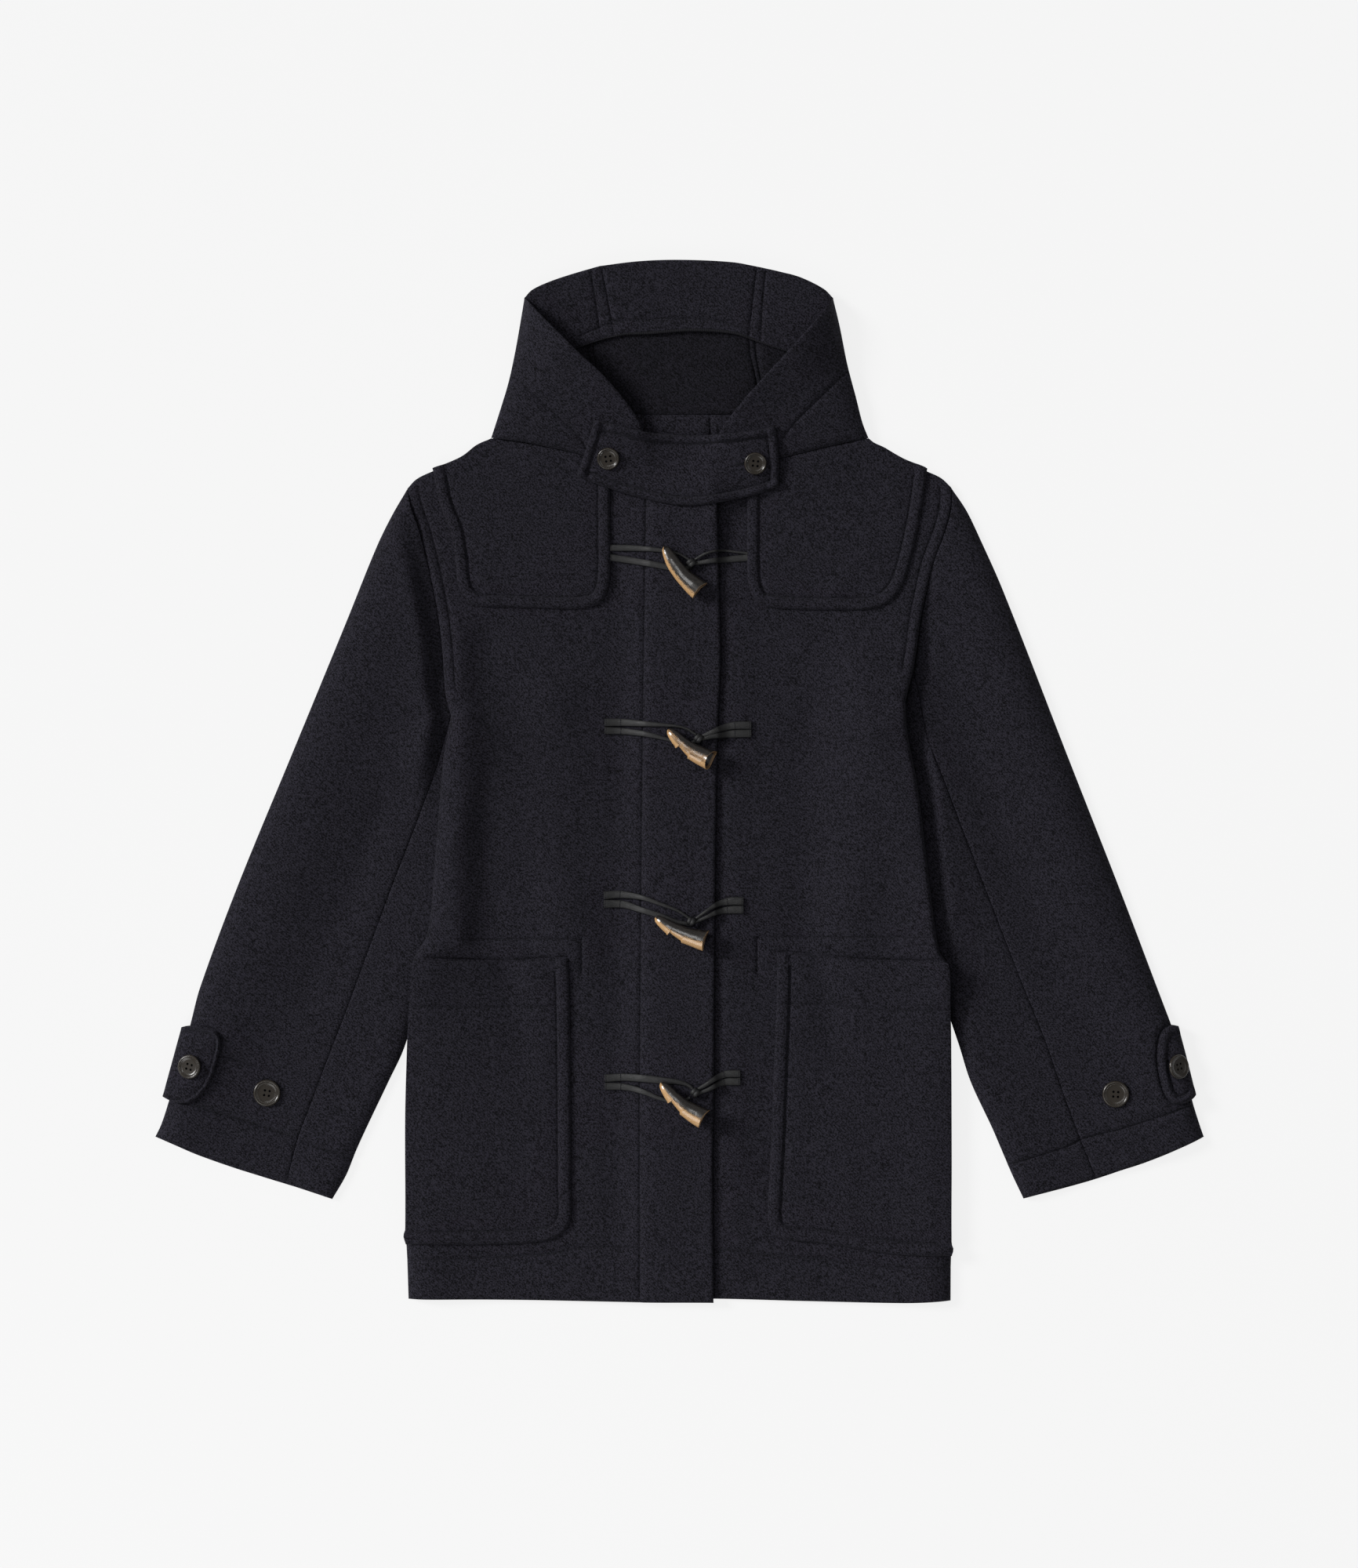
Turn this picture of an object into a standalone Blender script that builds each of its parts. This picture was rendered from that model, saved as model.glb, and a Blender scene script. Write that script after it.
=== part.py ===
"""Duffle coat in heavy wool, laid flat on its back with the hood opened upwards.

X runs across the coat and Y from the hem to the hood. The wearer's right side is at -X. The coat lies on
z = 0, and its panels lie on each other. All the flat pieces are cut from one net of triangles over the coat's
plan, so a piece that lies on another is made from that piece's own points, moved up.
"""

import math

import bmesh
import bpy
import numpy as np
from mathutils import Vector
from mathutils.geometry import delaunay_2d_cdt

# ---------------------------------------------------------------- driving dimensions, in millimetres
CLOTH = 2.5  # wall of the heavy wool
GAP = 0.3  # clearance at every seam and between layers
TAPE = 1.0  # the binding tape of the hood's hem
HIDDEN_CROWN = 7.6  # the hood's folded crown, several layers in one solid
NET = 44.0  # spacing of the net's inner points
LONGEST = 60.0  # longest edge along an outline
RAMP = 34.0  # how far a layer takes to come down from what it lies on

HALF_HEM = 245.0
HALF_SHOULDER = 243.0
UNDERARM = (204.0, 525.0)  # where the armhole reaches the body's edge
NECK_POINT = (172.0, 772.0)  # where shoulder, hood and coat meet
HOOD_TOP = 932.0

SIDE_ROLL = (6.5, 19.0)  # height of the rolled edge and how far in it is highest: the body
SLEEVE_ROLL = (5.5, 20.0)
INNER_ROLL = (2.0, 14.0)  # the sleeve's inner fold, part of it under the body
BODY_REST = 0.7  # what is left of the loft in the middle of the fronts
SLEEVE_REST = 1.2
EDGE_FALL = 8.0  # how far in from an edge that rest is reached
BRIM_LIFT = 21.0  # how high the hood's brim stands over the hood's inside
BRIM_START, BRIM_REACH = 742.0, 160.0  # where along Y the brim starts to rise, and how far it runs
BRIM_NECK_REST = 1.5  # how high the brim stands at the neck
TAB_RAMP = 70.0

BUTTON_R, CUFF_BUTTON_R, BUTTON_H = 10.0, 12.0, 3.2
BUTTON_SIDES = 16
HOLE_R, HOLE_OUT = 0.12, 0.26  # a button's holes and their distance from its middle, in button radii
CORD_W, CORD_H = 5.0, 1.8  # a leather strand
CORD_LIFT = 0.15  # clearance under a strand, over GAP
PAIR_PITCH = CORD_W + 0.9  # between the two runs of a strand where it is sewn on
SEWN = 17.0  # length of a strand's straight sewn end
KNOT_R = 3.2  # a strand's turn round the horn
TIE_FLAT, TIE_DOWN = 17.0, 32.0  # how far from the knot a tie lies on its loop, and comes down
HORN_BOW = 3.5
HORN_SIDES = 10
HORN_ROUND = 0.86  # a horn's height in its widths

MM = 0.001

# ---------------------------------------------------------------- lines of the cut, for the +X half, in mm
# Each row is x, y. A line runs smoothly through its rows.
SHOULDER = [NECK_POINT, (190, 759), (205, 753), (221, 746), (HALF_SHOULDER, 727)]
ARMHOLE = [(HALF_SHOULDER, 727), (232, 693), (222, 652), (214, 612), (208, 568), UNDERARM]
BODY_SIDE = [UNDERARM, (207, 500), (212, 464), (217, 400), (224, 331), (236, 306), (242, 240), (244, 160),
             (HALF_HEM, 53), (HALF_HEM, 43), (HALF_HEM, 4)]
FRONT_NECK = [NECK_POINT, (135, 768), (99, 757), (60, 746), (32, 741), (0, 740)]
BACK_NECK = [NECK_POINT, (140, 782), (100, 790), (55, 794), (0, 795)]
SLEEVE_FOLD = [(HALF_SHOULDER, 727), (256, 706), (270, 677), (280, 660), (354, 472), (428, 283), (441, 249),
               (456, 190), (469, 148)]
CUFF = [(469, 148), (427, 134), (373, 115.5), (351, 108), (309, 92)]
CUFF_BACK = [(469, 148), (427, 134), (395, 123.2), (351, 108), (309, 92)]
INNER_FOLD = [(309, 92), (278, 159), (245, 231), (204, 360), (160, 505)]
HIDDEN_ARMHOLE = [(160, 505), (184, 519), UNDERARM]
SLEEVE_SEAM = {-1: [UNDERARM, (221, 468), (290, 282), (333, 170), (351, 108)],
               1: [UNDERARM, (237, 464), (308, 282), (343, 188), (373, 115.5)]}
SLEEVE_BACK_SEAM = [(214, 612), (262, 470), (395, 123.2)]
HOOD_FOLD = [NECK_POINT, (161, 805), (154, 835), (147, 868), (139, 897)]
HOOD_ARC_SIDE = [(139, 897), (130, 906), (108, 916), (70, 926)]
HOOD_ARC_TOP = [(70, 926), (35, 931), (0, HOOD_TOP), (-35, 931), (-70, 926)]
HOOD_SEAM = [(70, 926), (66, 860), (60, 820), (55, 794)]
BRIM = [(139, 897), (119, 878), (94, 851), (68, 824), (46, 800), (34, 780), (32, 741)]
HEM_RIDGE = [(122, 836), (99, 849), (76, 859), (48, 866), (12, 868), (-25, 866), (-55, 863), (-90, 853),
             (-114, 839)]
TOP_EDGE = [(32, 741), (36, 652), (37, 573), (33, 480), (32, 390), (31, 184), (31, 1)]  # the upper front
UNDER_EDGE = [(-32, 741), (-31, 3)]  # the front below it, hidden
TOP_HEM = [(31, 1), (-40, 1), (-242, 3), (-HALF_HEM, 4)]
UNDER_HEM = [(-31, 3), (32, 3), (199, 1), (HALF_HEM, 4)]
PATCH = [(221, 746), (217, 714), (209, 690), (203, 661), (198, 641), (189, 627), (176, 620), (157, 619),
         (96, 620), (78, 622), (67, 632), (64, 648), (64, 747)]
POCKET = {
    -1: [(236, 306), (174, 307), (100, 308), (98, 276), (97, 98), (95, 80), (99, 66), (109, 58), (130, 54),
         (174, 52.5), (HALF_HEM, 53)],
    1: [(236, 306), (134, 310), (88, 313), (87.5, 276), (82, 143), (79, 80), (84, 63), (96, 56), (123, 54.5),
        (178, 46), (HALF_HEM, 43)],
}
CUFF_STRAP = [(446, 250), (437, 249), (416, 246), (410, 236), (412, 220), (418, 201), (427, 187), (438, 180),
              (455, 181), (463, 186)]
CUFF_STRAP_BACK = [(446, 250), (437, 249), (400, 241), (416, 184), (455, 181), (463, 186)]
TAB_TOP = [(-76, 788), (-51, 782), (-22, 777), (5, 775), (36, 775.5), (66, 779), (86, 783)]
TAB_BOTTOM = [(90, 729), (60, 720), (36, 715), (6, 712), (-22, 715.5), (-58, 726), (-92, 738)]
CROWN = [(0, 926), (45, 924), (88, 915), (122, 899), (132, 882), (140, 850), (147, 812), (150, 786),
         (110, 779), (0, 778)]

# Soft folds of the fronts: x and y of both ends, height, half width.
FOLDS = {
    "front_right": [(-112, 520, -112, 320, 3.0, 26), (-10, 640, -10, 60, 1.6, 26)],
    "front_left": [(48, 640, 48, 60, 1.6, 20), (163, 560, 158, 325, 3.0, 30)],
}

# Toggles: tip, middle of the fat end, and the knot that the toggle hangs on.
TOGGLES = [
    {"tip": (-13, 674), "end": (17, 637), "knot": (9, 659), "loop_x": -59, "loop_y": 672, "tie_x": 60,
     "tie_y": 668},
    {"tip": (-10, 512), "end": (26, 484), "knot": (18, 503), "loop_x": -66, "loop_y": 515, "tie_x": 64,
     "tie_y": 514},
    {"tip": (-22, 346), "end": (22, 324), "knot": (8, 343), "loop_x": -67, "loop_y": 360, "tie_x": 57,
     "tie_y": 356},
    {"tip": (-15, 198), "end": (21, 169), "knot": (14, 191), "loop_x": -66, "loop_y": 197, "tie_x": 56,
     "tie_y": 203},
]
# Buttons: x, y and radius.
BUTTONS = {
    "neck_button_right": (-63, 754, BUTTON_R),
    "neck_button_left": (68, 750, BUTTON_R),
    "strap_button_right": (-437, 212, BUTTON_R),
    "strap_button_left": (437, 212, BUTTON_R),
    "cuff_button_right": (-368, 188, CUFF_BUTTON_R),
    "cuff_button_left": (390, 187, CUFF_BUTTON_R),
}
# A button's section: radius in button radii, height in button heights.
BUTTON_SECTION = [(0.82, 0.0), (1.0, 0.3), (1.0, 0.75), (0.9, 1.0), (0.76, 0.98), (0.66, 0.66)]
# A horn's section along its length: share of the length from its tip, radius.
HORN_SECTION = [(0.0, 1.6), (0.04, 3.2), (0.2, 4.9), (0.42, 6.2), (0.55, 6.3), (0.75, 7.2), (0.93, 8.3),
                (1.0, 8.6)]
SIDES = {"right": -1, "left": 1}


# ---------------------------------------------------------------- lines and outlines
def smooth(rows, turn=14.0):
    """The points of a smooth line through the rows, closer together where it bends more."""
    points = [np.array(row, float) for row in rows]
    if len(points) < 3:
        return points
    curve = [points[0]]
    for i in range(len(points) - 1):
        a, b = points[i], points[i + 1]
        before = points[max(i - 1, 0)]
        after = points[min(i + 2, len(points) - 1)]
        span = np.linalg.norm(b - a)
        into = (b - before) / max(np.linalg.norm(b - before), 1e-6) * span
        out = (after - a) / max(np.linalg.norm(after - a), 1e-6) * span
        bend = math.degrees(math.acos(np.clip(into @ out / (span * span), -1, 1)))
        count = max(1, round(bend / turn), math.ceil(span / LONGEST))
        for k in range(1, count + 1):
            t = k / count
            curve.append((2 * t**3 - 3 * t**2 + 1) * a + (t**3 - 2 * t**2 + t) * into
                         + (3 * t**2 - 2 * t**3) * b + (t**3 - t**2) * out)
    return curve


def line(rows, side=1):
    """A line of the cut on the side asked for: -1 mirrors it."""
    return [point * (side, 1) for point in smooth(rows)]


def joined(*chains):
    """One closed outline, counter-clockwise, of lines that meet end to end."""
    points = []
    for chain in chains:
        for point in chain:
            if not points or np.linalg.norm(points[-1] - point) > 0.01:
                points.append(point)
    if np.linalg.norm(points[0] - points[-1]) < 0.01:
        points.pop()
    points = np.array(points)
    x, y = points.T
    if (x * np.roll(y, -1) - np.roll(x, -1) * y).sum() < 0:
        points = points[::-1]
    return points


def beside(chain, distance):
    """A line parallel to the chain, on its left, lengthened a little at both ends."""
    chain = np.array(chain)
    run = np.gradient(chain, axis=0)
    run /= np.linalg.norm(run, axis=1)[:, None]
    moved = chain + np.stack([-run[:, 1], run[:, 0]], 1) * distance
    moved[0] -= run[0] * 6
    moved[-1] += run[-1] * 6
    return moved


def inside(points, outline):
    """Which points lie inside the outline."""
    x, y = points[:, 0][:, None], points[:, 1][:, None]
    x0, y0 = outline.T
    x1, y1 = np.roll(outline, -1, 0).T
    crosses = (y0 > y) != (y1 > y)
    at = x0 + (y - y0) * (x1 - x0) / np.where(y1 == y0, 1e-9, y1 - y0)
    return ((crosses & (x < at)).sum(1) % 2).astype(bool)


def distance_to(points, chain):
    """How far each point is from a line."""
    chain = np.array(chain)
    a, d = chain[:-1], np.diff(chain, axis=0)
    rest = points[:, None] - a[None]
    t = np.clip((rest * d).sum(2) / np.maximum((d * d).sum(1), 1e-9), 0, 1)
    return np.linalg.norm(rest - t[..., None] * d, axis=2).min(1)


# ---------------------------------------------------------------- the plan of every piece
def plans():
    """{piece: (outline, fold line or None)}. A folded piece has an upper and a lower outline."""
    flat, folded = {}, {}
    for name, side in SIDES.items():
        armhole, shoulder = line(ARMHOLE, side), line(SHOULDER, side)
        body_side, fold = line(BODY_SIDE, side), line(SLEEVE_FOLD, side)
        inner, hidden = line(INNER_FOLD, side), line(HIDDEN_ARMHOLE, side)
        seam, back_seam = line(SLEEVE_SEAM[side], side), line(SLEEVE_BACK_SEAM, side)
        cuff, cuff_back = line(CUFF, side), line(CUFF_BACK, side)
        at = int(np.argmin([np.linalg.norm(p - seam[-1]) for p in cuff]))
        back_at = int(np.argmin([np.linalg.norm(p - back_seam[-1]) for p in cuff_back]))
        low = int(np.argmin([np.linalg.norm(p - back_seam[0]) for p in armhole]))
        folded["sleeve_top_" + name] = (
            joined(fold, cuff[: at + 1], seam[::-1], armhole[::-1]),
            joined(fold, cuff_back[: back_at + 1], back_seam[::-1], armhole[low::-1]),
            fold,
        )
        folded["sleeve_under_" + name] = (
            joined(seam, cuff[at:], inner, hidden),
            joined(back_seam, cuff_back[back_at:], inner, hidden, armhole[:low - 1 : -1]),
            inner,
        )
        strap, strap_back = line(CUFF_STRAP, side), line(CUFF_STRAP_BACK, side)
        folded["cuff_strap_" + name] = (joined(strap), joined(strap_back), [strap[0], strap[-1]])
        hood_fold, arc = line(HOOD_FOLD, side), line(HOOD_ARC_SIDE, side)
        neck = line(FRONT_NECK[:5], side)
        hood_seam = line(HOOD_SEAM, side)
        back_neck = line(BACK_NECK[:4], side)
        folded["hood_side_" + name] = (
            joined(hood_fold, line(BRIM, side), neck[::-1]),
            joined(hood_fold, arc, hood_seam, back_neck[::-1]),
            hood_fold,
        )
        top_front = side < 0
        edge = line(TOP_EDGE) if top_front else line(UNDER_EDGE)
        hem = line(TOP_HEM) if top_front else line(UNDER_HEM)
        far_neck = line(FRONT_NECK[4:], -side)[::-1]
        flat["front_" + name] = joined(body_side[::-1], armhole[::-1], shoulder[::-1], line(FRONT_NECK, side),
                                       far_neck, edge, hem)
        patch = line(PATCH, side)
        neck_part = [p for p in neck if abs(p[0]) > PATCH[-1][0] + GAP]
        flat["shoulder_patch_" + name] = joined(patch, neck_part[::-1], shoulder[:4])
        pocket = line(POCKET[side], side)
        low_y, high_y = pocket[-1][1], pocket[0][1]
        along = [p for p in body_side if low_y < p[1] < high_y]
        flat["pocket_" + name] = joined(pocket, along[::-1])
    left, right = line(BODY_SIDE, 1), line(BODY_SIDE, -1)
    flat["body_back"] = joined(
        left[::-1], line(ARMHOLE, 1)[::-1], line(SHOULDER, 1)[::-1], line(BACK_NECK, 1),
        line(BACK_NECK, -1)[::-1], line(SHOULDER, -1), line(ARMHOLE, -1), right,
    )
    flat["hood_centre"] = joined(line(HOOD_ARC_TOP), line(HOOD_SEAM, -1), line(BACK_NECK[3:], -1),
                                 line(BACK_NECK[3:], 1)[::-1], line(HOOD_SEAM, 1)[::-1])
    arc = line(HOOD_ARC_SIDE[1:], 1) + line(HOOD_ARC_TOP) + line(HOOD_ARC_SIDE[1:], -1)[::-1]
    ridge = line(HEM_RIDGE)
    flat["hood_brim_hem"] = joined(arc, [np.array((-134.0, 878.0))], ridge[::-1], [np.array((136.0, 878.0))])
    flat["hood_hem_tape"] = joined(ridge, beside(ridge, -4.5)[1:-1][::-1])
    flat["hood_crown_folded"] = joined(line(CROWN, 1), line(CROWN, -1)[::-1])
    flat["neck_tab"] = joined(line(TAB_TOP), line(TAB_BOTTOM))
    return flat, folded


class Net:
    """One net of triangles over the coat's plan, and the height that each triangle's corners have reached."""

    def __init__(self, chains):
        vertices, edges = [], []
        for chain, closed in chains:
            first = len(vertices)
            vertices += [tuple(point) for point in chain]
            edges += [(first + i, first + i + 1) for i in range(len(chain) - 1)]
            if closed:
                edges.append((first + len(chain) - 1, first))
        placed = np.array(vertices)
        rows = np.arange(placed[:, 1].min(), placed[:, 1].max(), NET * math.sqrt(3) / 2)
        grid = [(x + (i % 2) * NET / 2, y) for i, y in enumerate(rows)
                for x in np.arange(placed[:, 0].min(), placed[:, 0].max(), NET)]
        away = np.full(len(grid), 1e9)
        for chain, closed in chains:
            ring = list(chain) + [chain[0]] if closed else chain
            away = np.minimum(away, distance_to(np.array(grid), ring))
        vertices += [point for point, far in zip(grid, away) if far > NET * 0.36]
        found = delaunay_2d_cdt([Vector(v) for v in vertices], edges, [], 0, 0.02)
        self.points = np.array([tuple(v) for v in found[0]])
        self.faces = np.array([tuple(f) for f in found[2]])
        turn = self.points[self.faces]
        area = np.cross(turn[:, 1] - turn[:, 0], turn[:, 2] - turn[:, 0])
        self.faces = self.faces[np.abs(area) > 1e-4]
        area = area[np.abs(area) > 1e-4]
        self.faces[area < 0] = self.faces[area < 0][:, ::-1]
        self.middles = self.points[self.faces].mean(1)
        self.top = np.zeros((len(self.faces), 3))

    def region(self, outline):
        return inside(self.middles, outline)

    def base(self, region, ramp):
        """The lowest height at which a smooth layer can lie on everything under this region."""
        faces = self.faces[region]
        reached = np.zeros(len(self.points))
        np.maximum.at(reached, faces.ravel(), self.top[region].ravel())
        used = np.unique(faces)
        raised = np.where(reached[used] > 0, reached[used] + GAP, 0)
        points = self.points[used]
        share = np.clip(np.linalg.norm(points[:, None] - points[None], axis=2) / ramp, 0, 1)
        fall = 1 - share**2 * (3 - 2 * share)
        height = np.zeros(len(self.points))
        height[used] = (raised[None] * fall).max(1)
        return height

    def put(self, region, top):
        self.top[region] = np.maximum(self.top[region], top[self.faces[region]])

    def surface(self, x, y):
        """The height of the top surface at a point."""
        a, b, c = (self.points[self.faces[:, i]] for i in range(3))
        p = np.array((x, y), float)
        whole = np.cross(b - a, c - a)
        wb = np.cross(p - a, c - a) / whole
        wc = np.cross(b - a, p - a) / whole
        hit = np.flatnonzero((wb >= -1e-6) & (wc >= -1e-6) & (wb + wc <= 1 + 1e-6))
        heights = [self.top[i] @ (1 - wb[i] - wc[i], wb[i], wc[i]) for i in hit]
        return max(heights, default=0.0)

    def over(self, x, y, radius):
        """The highest surface within a radius of a point."""
        ring = [(x + radius * math.cos(a), y + radius * math.sin(a)) for a in np.linspace(0, math.tau, 9)[:8]]
        return max(self.surface(*p) for p in [(x, y)] + ring)


# ---------------------------------------------------------------- solids
def material(name, colour, roughness, metallic=0.0):
    made = bpy.data.materials.new(name)
    made.use_nodes = True
    shader = made.node_tree.nodes["Principled BSDF"]
    shader.inputs["Base Color"].default_value = (*colour, 1)
    shader.inputs["Roughness"].default_value = roughness
    shader.inputs["Metallic"].default_value = metallic
    return made


def add(name, points, faces, finish, smooth_angle=40):
    """A closed body from points in millimetres, with its faces turned outwards."""
    mesh = bpy.data.meshes.new(name)
    mesh.from_pydata([tuple(np.array(p) * MM) for p in points], [], [tuple(f) for f in faces])
    shape = bmesh.new()
    shape.from_mesh(mesh)
    bmesh.ops.recalc_face_normals(shape, faces=shape.faces)
    shape.to_mesh(mesh)
    shape.free()
    mesh.shade_smooth()
    mesh.set_sharp_from_angle(angle=math.radians(smooth_angle))
    mesh.materials.append(finish)
    obj = bpy.data.objects.new(name, mesh)
    bpy.context.scene.collection.objects.link(obj)
    return obj


def rim(faces):
    """The edges at the border of these faces, each in its face's direction."""
    ends = [(f[i], f[(i + 1) % 3]) for f in faces for i in range(3)]
    known = set(ends)
    return [(a, b) for a, b in ends if (b, a) not in known]


def seam_clearance(net, region):
    """How far each point at the border of a piece is moved into the piece, so that seams stay open."""
    normals = {}
    for a, b in rim(net.faces[region]):
        run = net.points[b] - net.points[a]
        normal = np.array((-run[1], run[0])) / np.linalg.norm(run)
        for v in (a, b):
            normals.setdefault(v, []).append(normal)
    moves = {}
    for v, found in normals.items():
        middle = sum(found) / np.linalg.norm(sum(found))
        moves[v] = middle * (GAP / 2) / max(middle @ found[0], 0.35)
    return moves


class Body:
    """Collects the corners of a cloth solid, so that one point at one level is one corner."""

    def __init__(self, net):
        self.net, self.index, self.points, self.faces = net, {}, [], []

    def corner(self, key, vertex, height, moves):
        if key not in self.index:
            self.index[key] = len(self.points)
            self.points.append((*(self.net.points[vertex] + moves.get(vertex, 0)), height))
        return self.index[key]

    def face(self, corners):
        kept = [c for i, c in enumerate(corners) if c != corners[i - 1]]
        if len(kept) > 2:
            self.faces.append(kept)


def flat_solid(net, name, region, bottom, top, finish, groove=0.0):
    """A sheet between two heights. With groove, its edge shows two layers."""
    body = Body(net)
    faces = net.faces[region]
    moves = seam_clearance(net, region)
    for f in faces:
        body.face([body.corner((v, "top"), v, top[v], moves) for v in f])
        body.face([body.corner((v, "bottom"), v, bottom[v], moves) for v in f[::-1]])
    middle = net.points[np.unique(faces)].mean(0)
    for a, b in rim(faces):
        wall = [body.corner((v, level), v, height[v], moves)
                for v, level, height in ((b, "top", top), (a, "top", top), (a, "bottom", bottom),
                                         (b, "bottom", bottom))]
        if not groove:
            body.face(wall)
            continue
        waist = []
        for v in (a, b):
            if (v, "waist") not in body.index:
                body.index[(v, "waist")] = len(body.points)
                inwards = middle - net.points[v]
                inwards *= groove / np.linalg.norm(inwards)
                body.points.append((*(net.points[v] + inwards), (top[v] + bottom[v]) / 2))
            waist.append(body.index[(v, "waist")])
        body.face([wall[0], wall[1], waist[0], waist[1]])
        body.face([waist[1], waist[0], wall[2], wall[3]])
    return add(name, body.points, body.faces, finish)


def folded_solid(net, name, upper, lower, fold, levels, finish):
    """A wall folded round its fold line: an upper and a lower sheet that are one piece of cloth."""
    z1, z2, z3, z4 = levels
    near = distance_to(net.middles, fold)
    strip = upper & lower & (near < CLOTH)
    in_upper = set(net.faces[upper].ravel())
    in_lower = set(net.faces[lower].ravel())
    on_fold = distance_to(net.points, fold) < GAP / 2
    merged = {v for v in in_upper & in_lower if on_fold[v]}
    turning = set(net.faces[strip].ravel()) - merged
    body = Body(net)
    upper_moves, lower_moves = seam_clearance(net, upper), seam_clearance(net, lower)

    def corner(v, level):
        if v in merged:
            return body.corner((v, "fold"), v, (z1[v] + z4[v]) / 2, upper_moves)
        if v in turning and level in (2, 3):
            return body.corner((v, "inner"), v, (z2[v] + z3[v]) / 2, upper_moves)
        moves = upper_moves if level > 2 else lower_moves
        return body.corner((v, level), v, (z1, z2, z3, z4)[level - 1][v], moves)

    for region, outer, under in ((upper, 4, 3), (lower, 1, 2)):
        for i in np.flatnonzero(region):
            f = net.faces[i]
            body.face([corner(v, outer) for v in (f if outer == 4 else f[::-1])])
            if not strip[i]:
                body.face([corner(v, under) for v in (f[::-1] if outer == 4 else f)])
        for a, b in rim(net.faces[region]):
            if a in merged and b in merged:
                continue
            wall = [corner(b, outer), corner(a, outer), corner(a, under), corner(b, under)]
            body.face(wall if outer == 4 else wall[::-1])
    return add(name, body.points, body.faces, finish)


def roll(distance, height, reach):
    """The height of a rolled edge: nothing at the edge, most at its reach, gone further in."""
    share = distance / reach
    return height * share * np.exp(1 - share)


def folds(points, rows):
    """The soft folds' height at each point."""
    height = np.zeros(len(points))
    for x0, y0, x1, y1, high, wide in rows:
        away = distance_to(points, [(x0, y0), (x1, y1)])
        height += high * np.exp(-(away / wide) ** 2)
    return height


# ---------------------------------------------------------------- the cloth
def build_cloth(wool, tape):
    flat, folded = plans()
    chains = [(outline, True) for outline in flat.values()]
    for upper, lower, fold in folded.values():
        chains += [(upper, True), (lower, True)]
        fold = np.array(fold)
        to_middle = upper.mean(0) - fold[len(fold) // 2]
        run = fold[-1] - fold[0]
        left = run[0] * to_middle[1] - run[1] * to_middle[0] > 0
        chains.append((beside(fold, CLOTH if left else -CLOTH), False))
    net = Net(chains)
    points = net.points

    def sheet(name, loft=0.0, thick=CLOTH, ramp=RAMP, groove=0.0, finish=wool):
        region = net.region(flat[name])
        bottom = net.base(region, ramp) + loft
        top = bottom + thick
        net.put(region, top)
        flat_solid(net, name, region, bottom, top, finish, groove)

    def tube_lower(name):
        region = net.region(folded[name][1])
        z1 = net.base(region, RAMP)
        net.put(region, z1 + CLOTH)
        return region, z1

    def tube_upper(name, lower, z1, loft, ramp=RAMP):
        region = net.region(folded[name][0])
        z3 = net.base(region, ramp) + loft
        z4 = z3 + CLOTH
        net.put(region, z4)
        folded_solid(net, name, region, lower, folded[name][2], (z1, z1 + CLOTH, z3, z4), wool)

    strap_lower = {name: tube_lower("cuff_strap_" + name) for name in SIDES}
    for name, side in SIDES.items():
        outer, inner = line(SLEEVE_FOLD, side), line(INNER_FOLD, side)
        to_outer, to_inner = distance_to(points, outer), distance_to(points, inner)
        loft = (SLEEVE_REST * (1 - np.exp(-to_outer / EDGE_FALL)) * (1 - np.exp(-to_inner / EDGE_FALL))
                + roll(to_outer, *SLEEVE_ROLL) + roll(to_inner, *INNER_ROLL))
        lowers = [(piece, *tube_lower(piece)) for piece in ("sleeve_top_" + name, "sleeve_under_" + name)]
        for piece, region, z1 in lowers:
            tube_upper(piece, region, z1, loft)
    sheet("hood_crown_folded", thick=HIDDEN_CROWN, groove=1.6)
    sheet("body_back")
    for name in ("left", "right"):
        side = SIDES[name]
        to_side = distance_to(points, line(BODY_SIDE, side))
        away = np.minimum(to_side, distance_to(points, line(SHOULDER, side)))
        loft = BODY_REST * (1 - np.exp(-away / EDGE_FALL)) + roll(to_side, *SIDE_ROLL)
        sheet("front_" + name, loft + folds(points, FOLDS["front_" + name]))
    for name in SIDES:
        sheet("shoulder_patch_" + name)
        sheet("pocket_" + name)
    hood_lower = {name: tube_lower("hood_side_" + name) for name in SIDES}
    sheet("hood_centre")
    sheet("hood_brim_hem")
    sheet("hood_hem_tape", thick=TAPE, finish=tape)
    for name, side in SIDES.items():
        brim = line(BRIM, side)
        to_fold, to_brim = distance_to(points, line(HOOD_FOLD, side)), distance_to(points, brim)
        across = np.clip(to_fold / (to_fold + to_brim + 1e-6), 0, 1)
        along = np.clip((points[:, 1] - BRIM_START) / BRIM_REACH, 0, 1)
        lift = BRIM_LIFT * np.sin(math.pi * along**1.8) ** 0.8 + BRIM_NECK_REST
        tube_upper("hood_side_" + name, *hood_lower[name], lift * across**0.8)
    sheet("neck_tab", ramp=TAB_RAMP)
    for name in SIDES:
        tube_upper("cuff_strap_" + name, *strap_lower[name], 0.0)
    return net


# ---------------------------------------------------------------- hard pieces and leather
def ring_faces(rings, size):
    """The faces between rings of corners, and the two ends."""
    faces = [list(range(size))[::-1], [(rings - 1) * size + k for k in range(size)]]
    for i in range(rings - 1):
        for k in range(size):
            a, b = i * size + k, i * size + (k + 1) % size
            faces.append([a, b, b + size, a + size])
    return faces


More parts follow.
